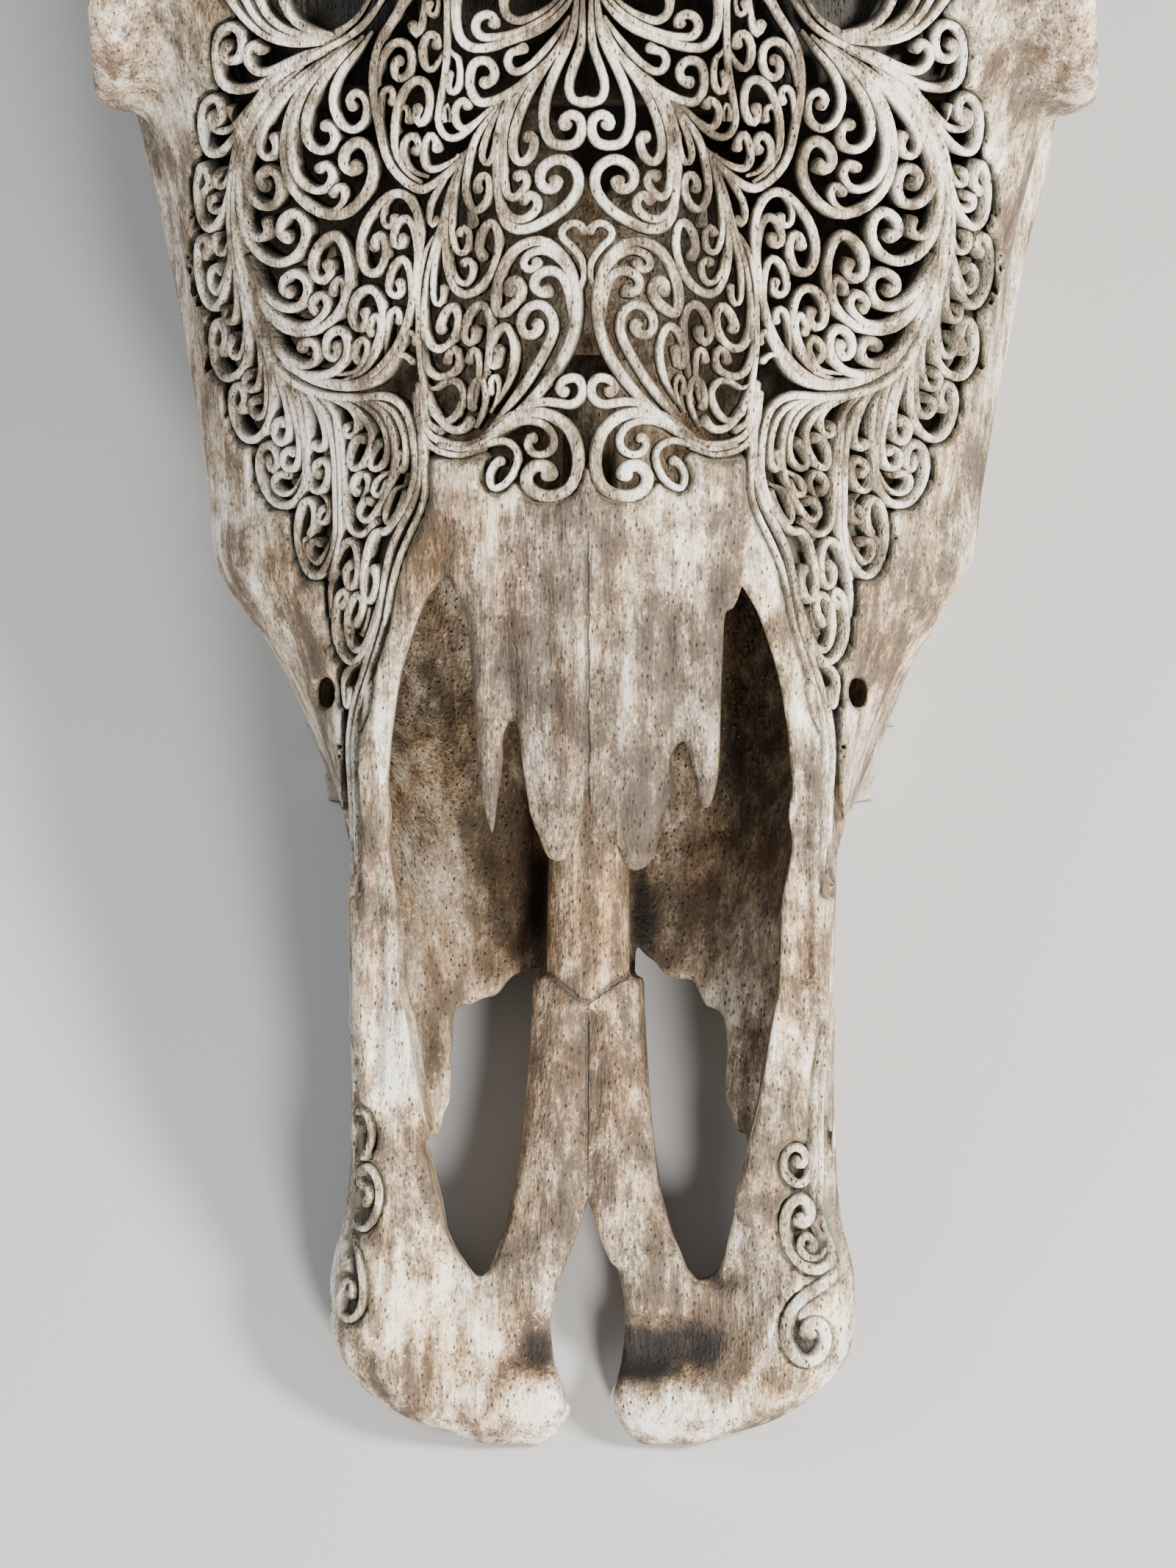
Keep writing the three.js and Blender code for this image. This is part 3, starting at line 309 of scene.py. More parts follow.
SIDE_STROKES = [
    [2.0, 62, 225.5, 56, 222.6, 50, 222, 45.5, 224, 41.8, 227.6, 39, 232, 37.2, 237, 36, 243, 35.2, 249,
     35, 254, 35.8, 258.2, 38, 261.2, 41, 261.5, 44, 259, 46.4, 255.6, 47.7, 251.5, 47.5, 247.6, 46, 245.2,
     43.8, 245.6, 42.5, 248, 42.2, 250.8, 43, 252.8, 44.3, 252.5, 44.7, 250.6],
    [1.6, 41, 261, 42.5, 259, 42.9, 256.8, 42.2, 255, 40.8, 255, 40.4, 256.6],
    [1.8, 36.6, 243, 35.6, 248, 35.7, 252, 36.6, 255.3, 38.2, 256.5, 39.8, 255.4, 40.6, 252.8, 40.2, 251,
     38.9, 251, 38.6, 252.5],
    [1.7, 37.6, 236, 37, 240, 36.9, 243.6, 37.5, 246.6, 38.8, 248, 40.5, 246.8, 41.6, 243.8, 41.5, 241.4,
     40.2, 240.4, 39, 241.4, 39.3, 243.2],
    [1.5, 42.5, 228, 42.3, 232, 41.6, 236.4, 40.2, 237.6, 39.4, 236.4, 39.5, 235],
    [1.3, 41, 226.6, 39.5, 229.5, 38.2, 232, 37.2, 233, 36.3, 232, 36.2, 230.6],
    [1.3, 44, 223.4, 40.4, 227.6, 38.4, 228, 36.8, 226.8],
    [1.9, 52, 222.8, 47.8, 224.4, 45, 228, 43.4, 232.5, 43, 236.8, 44.2, 240.6, 46.4, 241.8, 48.6, 240.6,
     49.8, 237.6, 49.4, 234.6, 47.8, 233.6, 46.6, 235.2, 46.9, 237],
    [1.6, 50, 223.4, 46.6, 226.5, 44.6, 230, 43.5, 233.5, 43.9, 236, 45, 236, 45.9, 234, 45.5, 232.6],
    [1.7, 53, 224, 49, 224.8, 47, 227.4, 46.3, 229.8, 47.3, 231.4, 48.8, 230.4, 49.2, 228.3, 48.5, 227],
    [2.2, 73, 247, 69.5, 239, 66, 234.6, 62, 232.8, 57.5, 233.3, 53.8, 235.6, 51.3, 239.2, 50.2, 243.5,
     50.4, 248, 51.8, 251.6, 54, 252.8, 56.6, 251, 58.1, 247.8, 57.6, 244.6, 55.8, 243.6, 54.3, 245,
     54.8, 246.9],
    [1.6, 53.8, 236, 51.9, 239.2, 51.4, 242.4, 52.3, 243.9, 53.6, 242.8, 53.9, 240.9],
    [1.9, 71, 242, 67, 236.8, 63, 234.2, 59, 234.2, 56.3, 235.9, 54.9, 238.2, 55.6, 240.3, 57.3, 240.3,
     58.3, 238.6, 57.6, 237.3],
    [2.1, 73, 248, 70, 242.5, 67, 239.3, 64, 237.7, 61, 238.4, 59.3, 241, 59.7, 243.8, 62, 245, 64.2, 244,
     64.7, 241.8, 63.4, 241],
    [2.1, 66, 226.5, 61, 224.2, 56.5, 223.8, 53, 225.3, 50.8, 228.5, 51, 232, 53, 233.3, 55, 231.8,
     55.3, 229, 54, 227.4, 52.7, 228.6, 53, 230],
    [2.0, 72, 242, 69, 235, 66, 229.5, 63.5, 227.2, 60.5, 226, 58, 226.8, 57.3, 229, 58.3, 230.8,
     60.2, 230.6, 60.7, 229.6],
    [2.0, 75, 258, 74.4, 250, 72, 242, 69, 235, 65.5, 228.5, 60.5, 224, 54.5, 221.8, 48, 221.6, 43.5, 223.6,
     40.3, 227.6, 38.2, 233],
    [1.8, 45, 295, 48, 291, 51, 287.4, 53, 283.4, 53.2, 279.4, 51.6, 276, 49, 274.8, 46.8, 276.4, 46, 279.2,
     46.7, 281.7, 48.6, 282.5, 49.7, 281, 49, 279.6],
    [2.0, 47, 294, 51, 290, 55, 285.4, 58, 280.6, 59.3, 276, 58.8, 272.4, 56.6, 270.5, 54.2, 270.9,
     53, 272.8, 53.5, 275, 55, 275.6],
    [1.9, 49, 293, 54, 288.6, 58.6, 283.4, 61.4, 277.4, 62.4, 271.6, 61.8, 266.8, 59.6, 263.4, 56.8, 262.2,
     54.4, 263.2, 53.5, 265.6, 54.6, 267.4, 56.3, 266.8],
    [2.4, 50, 292.6, 56, 287.8, 60.6, 282, 63.2, 275.6, 63.9, 269.4, 62.6, 263.6, 59.6, 259.6, 55.6, 257.4,
     51.6, 257.4, 48, 259.8, 45.6, 263.4, 44.9, 267.4, 46, 271, 48.4, 272.2, 50.8, 270.4, 51.2, 267.8,
     49.8, 266.4, 48.4, 267.2],
    [1.7, 57.4, 258.6, 54, 257.9, 51.6, 259.4, 50.9, 261.8, 52.2, 263, 53.4, 261.6],
    [1.8, 54, 289.6, 60, 284.8, 65, 279.6, 68.2, 275, 69.1, 271.4, 68, 269.2, 66.4, 269.4, 65.5, 271.2,
     66, 273.3],
    [2.2, 56, 289, 62.5, 283.6, 67.6, 277.4, 71, 271.2, 72.4, 265.4, 71.4, 261.2, 68.8, 259, 66, 259.6,
     64.8, 262.4, 65.6, 265.6, 68, 266.5, 69.3, 264.8, 68.3, 263],
    [1.8, 73.2, 262, 72.9, 257, 71.5, 253.6, 69.4, 252.3, 67.8, 253.6, 68, 255.8],
    [2.2, 60, 287.6, 66.5, 281.4, 70.8, 275, 73, 268, 73.8, 261, 73, 254.6, 71, 250.4, 68, 247.8, 64.6, 247.2,
     61.4, 249, 59.5, 252.4, 60, 256, 62.4, 257.5, 64.6, 256, 65, 253.4, 63.6, 252.4],
    [1.5, 62, 287, 68.4, 280.6, 72.4, 273.6, 74.5, 266, 75.2, 258, 74.8, 250.5, 73, 244, 70.4, 238],
    [1.5, 64, 286.6, 70, 279.6, 73.8, 272.4, 75.6, 264.6, 76.2, 257, 75.8, 249.6, 74.2, 243, 72.6, 237,
     70.6, 231.6],
]

LATERAL_STROKES = [
    [1.6, 42, 303, 46, 297.5, 50, 294, 55, 291.4, 61, 288],
    [1.5, 45, 303, 48, 298, 52, 295],
    [1.9, 50, 294.5, 56, 294.9, 60.5, 296.8, 63, 300, 63.8, 303],
    [1.8, 51, 294, 57, 294, 63, 295.6, 67, 298.8, 69, 303],
    [1.8, 52, 293.4, 60, 293.4, 66, 295.2, 70, 299, 72, 303],
    [1.8, 53, 292.8, 61, 292.6, 67, 294, 71.6, 297.6, 74.6, 301.4, 75.4, 303],
    [2.1, 54, 291, 60, 288.6, 65.5, 285.8, 70, 283.6, 74.5, 283, 77.3, 284.6, 78.3, 288, 78.3, 292,
     77.2, 295.2, 75, 296.2, 73, 294.8, 72.6, 291.8, 73.6, 289.6, 75.4, 289, 76.7, 290.4, 76.2, 292],
    [1.9, 52, 292.3, 58, 290.8, 63, 288.6, 67, 286.8, 69.6, 286.8, 71.4, 288.8, 71.4, 291.2, 70, 292.4,
     68.6, 291.2],
    [2.0, 58, 289.4, 66, 285, 70, 280, 72.8, 275.6, 75.4, 272.2, 78.2, 270, 80.4, 270.2, 81.6, 273, 81.8, 277,
     80.8, 280.2, 79, 281.4, 77.5, 280, 77.3, 277.6, 78.6, 276.2],
    [1.7, 67, 283.6, 70.6, 280.2, 72.8, 277.3, 74.8, 275.3, 77.4, 274.5, 79.4, 275.6, 79.6, 277.6,
     78.4, 278.2],
    [1.2, 74.6, 275.8, 75.4, 277.6, 75.6, 279.2],
    [1.9, 75.4, 268, 75.8, 264, 77, 259, 78.6, 256, 80.8, 254.2, 82.8, 256, 83.6, 260, 83.5, 264, 82.5, 267.2,
     81.2, 266, 80.8, 263.4, 81.8, 261.8],
    [1.6, 76.3, 263, 77.2, 259.6, 78.8, 257.8, 80.4, 258.4, 80.6, 260.2, 79.8, 260.6],
    [1.5, 75, 269.5, 75.9, 266, 77, 263.6, 78.3, 263, 79, 264.6, 78.3, 265.9],
    [1.5, 76, 256, 76.3, 252.4, 77.2, 249.6, 78.6, 249.2, 79.6, 251, 79.4, 252.6],
    [2.0, 75.8, 256, 76.2, 247, 77.8, 241, 80, 238, 82.4, 239.6, 83.8, 243.6, 84.1, 248, 83.4, 251.6,
     82, 252.4, 81.3, 250.6, 82, 249],
    [1.7, 76.4, 251, 77.2, 246, 78.2, 242.6, 79.6, 241, 81, 242.6, 81, 245.2, 79.8, 246.4, 78.6, 245.4],
    [1.6, 75.6, 252, 74.9, 245, 74.8, 239, 75.2, 236.6, 76.2, 235, 77.6, 235.6, 77.6, 237.4],
    [2.1, 75, 250, 73.4, 240, 72.4, 232, 73, 227, 75, 224.2, 78, 223.4, 80.3, 226, 81, 230, 80.6, 233.4,
     79.4, 235, 78.2, 233.6, 77.8, 231, 78.6, 229],
    [1.6, 74, 238, 73.4, 231.6, 74.2, 228.4, 75.8, 227.6, 77, 229.4, 76.4, 231.6],
    [1.6, 72.6, 240, 70.3, 232, 69.8, 227, 70.2, 223, 71.4, 221, 73, 221.2, 73.7, 222.9, 72.7, 224.2],
    [1.9, 71, 237, 68.4, 229, 67.4, 223, 67.3, 218.4, 68.2, 214.4, 70, 211.6, 72.6, 210.5, 75, 212.2,
     76.4, 216, 76.6, 219.6, 75.4, 221.8, 74, 221, 73.6, 218.6, 74.4, 217],
    [1.7, 70, 231.5, 68.7, 225, 68.6, 219, 69.3, 216, 71, 215.2, 72.4, 216.8, 72.2, 218.4, 70.8, 218.9],
]

CHEEK_STROKES = [
    [1.8, 75.3, 256, 74.2, 247, 72.3, 239, 69.5, 231.5, 66, 225.5, 61.5, 221.8, 56, 219.8, 49, 219.2,
     43.5, 219.6, 39.8, 218.2, 37.6, 215, 36.6, 210, 36.3, 205, 37, 200.5, 38.8, 196.5, 41.3, 193,
     43.2, 191.4, 44.8, 191.5, 46.2, 189.6, 47.2, 186, 47.8, 182, 47.6, 178.6, 46.6, 177.2, 45.4, 178.6,
     44.8, 181.4, 45.4, 183.8],
    [1.5, 50, 219, 44, 218.2, 40.6, 216, 38.9, 212.4, 38.3, 208.6, 38.6, 205.8, 39.6, 204.2, 40.3, 205.6,
     39.6, 207.8],
    [1.6, 52, 219, 46, 218.4, 42.6, 215.8, 41, 211.5, 40.6, 207, 41.2, 203, 42.6, 199.4, 44.6, 196,
     46.6, 193.8, 48.2, 194.6, 48.3, 196.6, 47, 198, 45.8, 197.6],
    [1.6, 54, 219, 48.5, 218.4, 44.9, 216, 42.8, 212.5, 42.2, 209, 42.8, 206.4, 44.4, 204.6, 45.8, 204.8,
     46, 206.6, 45.2, 208.8, 44.2, 209.9],
    [1.7, 55, 219.2, 51, 218.2, 48, 216, 46, 213.2, 45.6, 210.5, 46.4, 207.6, 48, 205.2, 49.6, 204.6,
     50.4, 206.4, 50, 209, 48.8, 210.9, 47.4, 210.6],
    [1.6, 57, 219.6, 53, 218.4, 50.2, 217, 48.8, 214.8, 49, 212.4, 50.2, 211.2, 51.4, 212, 51, 213.2],
    [1.5, 41.2, 207, 41.4, 204.2, 42.8, 203.4, 44.6, 202.2, 45.4, 200, 44.6, 198.9, 43.3, 199.8, 42.4, 201.6],
    [1.7, 48.6, 197.4, 47.2, 199.6, 46.6, 201.8, 47.4, 203.4, 49, 203, 49.8, 201, 49, 199.6],
    [1.5, 37.3, 202, 39, 200.9, 41, 200.2, 42.3, 197.6, 42.8, 194.6, 42, 193.2, 40.6, 194.8, 39.2, 197.6,
     38.4, 199.6],
    [1.5, 59, 220.6, 54.4, 217, 52.4, 212, 51.8, 206, 51.6, 200, 51.4, 195, 50.4, 191.9, 48.4, 190.8,
     46.4, 192, 45, 193.6],
    [1.3, 56, 219.4, 54, 216.4, 53, 211, 52.6, 204, 52.5, 197, 52.6, 190.6, 53.8, 186, 54.8, 181.6],
    [1.7, 62, 222.5, 58, 218.8, 55.2, 214, 54, 208, 53.8, 202, 53.7, 196, 53.8, 190.6, 55, 186, 57, 183,
     58.8, 182.2, 60.8, 184, 62.2, 188.5, 62.4, 193, 61.3, 197, 59.6, 198, 58.5, 196, 58.6, 193, 59.4, 191],
    [1.4, 54.2, 193, 55, 189.6, 56.6, 186.4, 58, 185, 59.4, 186.4, 59.8, 188.6, 58.6, 189.6, 57.4, 189],
    [1.3, 60.5, 185, 61.3, 187.5, 60.8, 189.8, 59.6, 190],
    [1.4, 57.6, 199.5, 56, 198, 55.4, 196, 56, 193.8, 57.2, 193.4, 57.4, 195.2, 56.5, 196.3],
    [1.6, 61, 221.6, 57.8, 217.4, 56, 213, 55.9, 210, 57.2, 208.6, 58.4, 209.5],
    [1.6, 62.6, 222.6, 60.2, 218, 59.4, 212, 59.8, 207, 59.6, 202.5, 58.4, 200, 56.8, 200.2, 55.6, 202,
     55.2, 204.4, 56, 206, 57.6, 206, 58.3, 204.4, 57.4, 203.2],
    [1.9, 65.5, 226, 62.4, 220.5, 60.8, 214, 60.2, 207, 60.4, 202, 62, 198.6, 64.6, 196.9, 67.4, 197.5,
     69.6, 200.2, 70.8, 204, 70.6, 207.4, 69.2, 209.4, 67.3, 208.6, 66.5, 206, 67, 204.2, 68.2, 204.8,
     68.6, 206.6],
    [1.5, 61.2, 203.6, 62.6, 200.6, 64.8, 199.2, 66.8, 200, 67.5, 202, 66.4, 203.4, 64.6, 203.2],
    [1.6, 66.5, 226.5, 63.6, 219.5, 61.8, 212.5, 61.6, 207.4, 62.8, 204.7, 64.8, 204.8, 65.4, 207,
     64.2, 208.4, 63, 207.8],
    [1.8, 68.6, 230, 65.8, 223, 64.1, 217, 63.8, 212.4, 65, 210, 66.6, 210.4, 67.3, 212.6, 66.4, 214.4,
     65.2, 214],
    [1.6, 50.9, 121, 51, 128, 51.1, 135, 51.4, 141, 51.6, 146, 51.2, 151, 50, 156.6, 48.2, 162, 46.4, 167.4,
     44.9, 172.5, 43.8, 178, 43, 183, 41.8, 188, 39.6, 192.6, 37.2, 197, 35.6, 201.5, 35, 207, 35.2, 214,
     35.4, 222],
    [1.3, 49.8, 117, 49.8, 124, 49.8, 131, 50, 138, 50.2, 145, 49.8, 151, 48.5, 156.6, 46.7, 162, 44.8, 167.5,
     43.1, 173, 42, 179, 40.4, 185, 38, 190.6, 35.8, 195, 34.4, 199.5, 34.4, 205, 34.2, 212],
    [1.3, 46.4, 166.4, 47.8, 164.9, 49.4, 164, 51.4, 163, 52.3, 160.6, 52.1, 157.4, 51.6, 155.2, 50.9, 156.4,
     50.8, 158.8],
    [2.5, 49, 151, 48, 153.4, 47.2, 156.4, 46.7, 159.4],
    [1.7, 54.8, 182.6, 53.6, 185.6, 52.6, 188.4, 51, 189.6, 49.6, 188.6, 48.9, 185.6, 49, 182.4, 50, 180,
     51.3, 180.8, 51.6, 183.4, 50.4, 184.8],
    [1.8, 44.6, 178, 45.4, 174.5, 46.4, 170.4, 48, 167.4, 49.8, 167, 51.2, 169.4, 51.5, 173.4, 50.7, 176.6,
     49.2, 178.4, 48, 177, 48.4, 174.4, 49.4, 172.4],
    [1.7, 43.4, 180, 44.4, 175, 46, 170, 48, 166.2, 50.6, 164.4, 53, 166.4, 54.2, 170, 54.2, 174.4,
     53.4, 178, 52, 179.2, 51.4, 177.6, 52.4, 176.2],
    [1.3, 46.8, 175.4, 47.2, 172.6, 48, 170.4],
    [1.4, 53.4, 186.6, 54.6, 182.6, 55, 178.6, 54.6, 174],
]

# The right snout's scrolls, and the left snout's as seen in a mirror
SNOUT_RIGHT_STROKES = [
    [3.0, 53, 43, 52.4, 38.6, 49.6, 35.7, 46, 33.8, 43, 31.3, 41.2, 28, 41, 24.5, 42.4, 21.3, 44.8, 19.6,
     47.4, 19.7, 49.3, 21.5, 50, 24.2, 49.2, 26.6, 47.4, 27.6, 45.8, 26.8, 45.6, 25.5],
    [2.5, 51, 46.4, 52, 43, 50.8, 40.1, 48, 38.6, 45, 39.1, 42.6, 41.4, 41.1, 44.6, 40.7, 48, 41.5, 51.2,
     43.4, 53, 45.5, 52.8, 46.7, 51.2, 46.5, 49.3, 45.1, 48.2, 43.9, 48.9],
    [1.9, 50.8, 44.4, 49.4, 42, 47.3, 40.9, 45.3, 41.4, 44.1, 43.2, 44.6, 45, 46.3, 45.4, 47.3, 44,
     46.6, 42.9],
    [1.4, 50.8, 44.6, 50, 47.2, 49.4, 49.2, 48.4, 49.5, 47.8, 48.2, 48.2, 46.5, 49.2, 45.6],
    [2.0, 47.4, 67, 46.9, 62.8, 46.8, 59.6, 45.7, 57.2, 43.6, 56.3, 41.6, 57.6, 40.8, 60, 41.4, 62.5,
     43.2, 63.8, 45, 63, 45.4, 61.4, 44.5, 60.3, 43.5, 61],
    [1.5, 47.9, 53, 47.7, 58, 47.6, 64, 47.6, 70, 47.9, 76, 48.5, 82, 49.8, 88.5],
    [1.2, 49.3, 51.5, 49, 57, 48.9, 63, 48.9, 70, 49.2, 76, 49.7, 82, 50.4, 87],
]
SNOUT_LEFT_STROKES = [
    [1.7, 49.6, 46.4, 48, 42.2, 47, 38, 46.6, 34.2, 46.9, 31, 48.2, 28.8, 50.1, 28.1, 51.6, 29.7, 51.9, 32.3,
     51.1, 34.8, 49.8, 36.3, 48.9, 34.9, 49.2, 33.2],
    [1.8, 50, 51, 48.6, 47.8, 46.7, 47, 44.9, 48.6, 43.6, 51.2, 43.1, 54.2, 43.6, 57, 45.1, 59.2, 46.8, 59.6,
     47.9, 58.2, 47.3, 56.3, 46, 55.2, 45.4, 53.6, 46.3, 52.4],
    [1.7, 49, 61.2, 47, 61.8, 45.4, 63.8, 44.9, 66.6, 45.5, 69.4, 46.9, 71.3, 48.2, 71, 48.4, 69.2,
     47.3, 67.9],
    [1.2, 48.9, 60, 48.8, 68, 49, 76, 49.7, 86],
]

# The grid that the bone's forms are blended on
VOXEL = 1.0
BAND = 9
GRID_LOW = np.array([-113.0, -10.0, -190.0])
GRID_HIGH = np.array([113.0, 503.0, 20.0])
GRID_SHAPE = tuple(int(n) + 1 for n in (GRID_HIGH - GRID_LOW) / VOXEL)
SLAB = 40  # rows of the grid that are worked on at once
LAST_CELL = 1.001  # keeps a place just inside a grid's last cell
TINY = 1e-6  # keeps a divisor from being zero
BONE_FACES = 190000


def to_frame(points):
    """Face millimetres to the frame's metres."""
    x, v, w = points[..., 0], points[..., 1], points[..., 2]
    sine, cosine = math.sin(FACE_TILT), math.cos(FACE_TILT)
    return np.stack([x, FACE_START_Y + v * cosine - w * sine, REST_LIFT + v * sine + w * cosine], -1) * MM


def to_face(points):
    """The frame's metres to face millimetres."""
    x, y, z = points[..., 0] / MM, points[..., 1] / MM - FACE_START_Y, points[..., 2] / MM - REST_LIFT
    sine, cosine = math.sin(FACE_TILT), math.cos(FACE_TILT)
    return np.stack([x, y * cosine + z * sine, z * cosine - y * sine], -1)


def rest_on_table(points):
    """Face points with none below the surface that the skull rests on."""
    placed = to_frame(points)
    placed[:, 2] = np.maximum(placed[:, 2], 0)
    return to_face(placed)


def ease(value, start, stop):
    """Smooth step from 0 at start to 1 at stop."""
    t = np.clip((value - start) / (stop - start), 0, 1)
    return t * t * (3 - 2 * t)


def bell(value, middle, width):
    """A smooth hump that is 1 in the middle."""
    return np.exp(-((value - middle) / width) ** 2)


def smooth_rows(rows, steps):
    """A Catmull-Rom curve through rows of numbers, with this many steps between two rows."""
    rows = np.asarray(rows, dtype=float)
    before = np.vstack([rows[:1], rows[:-1]])
    after = np.vstack([rows[2:], rows[-1:]])
    made = []
    for i in range(len(rows) - 1):
        a, b, c, d = before[i], rows[i], rows[i + 1], after[i]
        for t in np.arange(steps) / steps:
            made.append(0.5 * (2 * b + (c - a) * t + (2 * a - 5 * b + 4 * c - d) * t * t
                               + (3 * b - a - 3 * c + d) * t ** 3))
    made.append(rows[-1])
    return np.array(made)


def loft(rings):
    """Points, quads and end triangles of a skin over rings of equal length."""
    rings = np.asarray(rings, dtype=float)
    count, around = rings.shape[:2]
    ring, side = np.meshgrid(np.arange(count - 1), np.arange(around), indexing="ij")
    here = ring * around + side
    beside = ring * around + (side + 1) % around
    quads = np.stack([here, beside, beside + around, here + around], -1).reshape(-1, 4)
    points = np.vstack([rings.reshape(-1, 3), rings[0].mean(0), rings[-1].mean(0)])
    i = np.arange(around)
    first = np.stack([np.full(around, count * around), (i + 1) % around, i], -1)
    start = (count - 1) * around
    last = np.stack([np.full(around, count * around + 1), start + i, start + (i + 1) % around], -1)
    return points, quads, np.vstack([first, last])


def mirrored_rings(rows, steps_along, steps_round):
    """Full rings from rows that hold v and then half a section's points."""
    flat = smooth_rows([[row[0]] + [n for point in row[1:] for n in point] for row in rows], steps_along)
    rings = []
    for row in flat:
        half = smooth_rows(row[1:].reshape(-1, 2), steps_round)
        half[0, 0] = half[-1, 0] = 0.0
        full = np.vstack([half, half[-2:0:-1] * [-1, 1]])
        rings.append(np.stack([full[:, 0], np.full(len(full), row[0]), full[:, 1]], -1))
    return np.array(rings)


def rod_rings(rows, sides=16, flat=1.0, steps=4):
    """Rings of a round or oval rod through rows of x, v, w and radius."""
    fine = smooth_rows(rows, steps)
    along = np.gradient(fine[:, :3], axis=0)
    along /= np.linalg.norm(along, axis=1)[:, None]
    rings = []
    for (x, v, w, radius), tangent in zip(fine, along):
        reference = np.array([1.0, 0, 0]) if abs(tangent[2]) > 0.8 else np.array([0, 0, 1.0])
        side = np.cross(reference, tangent)
        side /= np.linalg.norm(side)
        up = np.cross(tangent, side)
        angle = 2 * np.pi * np.arange(sides) / sides
        rings.append(np.array([x, v, w]) + radius * np.cos(angle)[:, None] * side
                     + flat * radius * np.sin(angle)[:, None] * up)
    return np.array(rings)


def ball_rings(centre, radii, sides=28, count=16):
    """Rings of an ellipsoid."""
    polar = np.pi * (np.arange(count) + 0.5) / count
    angle = 2 * np.pi * np.arange(sides) / sides
    wide = np.sin(polar)[:, None]
    ring = np.stack([np.cos(angle)[None] * wide, np.sin(angle)[None] * wide,
                     np.repeat(np.cos(polar)[:, None], sides, 1)], -1)
    return np.asarray(centre) + ring * np.asarray(radii)


def cup_rings():
    """Rings of the eye's bony cup, from the head outwards."""
    angle = 2 * np.pi * np.arange(ORBIT_SIDES) / ORBIT_SIDES
    rings = []
    for x, long, high in smooth_rows(ORBIT_CUP, 3):
        rings.append(np.stack([np.full(ORBIT_SIDES, x), ORBIT_V + long * np.cos(angle),
                               ORBIT_W + high * np.sin(angle)], -1))
    return np.array(rings)


def spline_weights(length, cell, offset):
    """Weights that carry a coarse row of numbers to a fine one by a smooth cubic curve."""
    place = np.arange(length) * VOXEL / cell + offset
    whole = place.astype(int)
    t = place - whole
    weights = np.zeros((length, whole.max() + 4))
    rows = np.arange(length)
    shares = [(1 - t) ** 3 / 6, (3 * t ** 3 - 6 * t ** 2 + 4) / 6,
              (-3 * t ** 3 + 3 * t ** 2 + 3 * t + 1) / 6, t ** 3 / 6]
    for k, share in enumerate(shares):
        weights[rows, whole + k] = share
    return weights


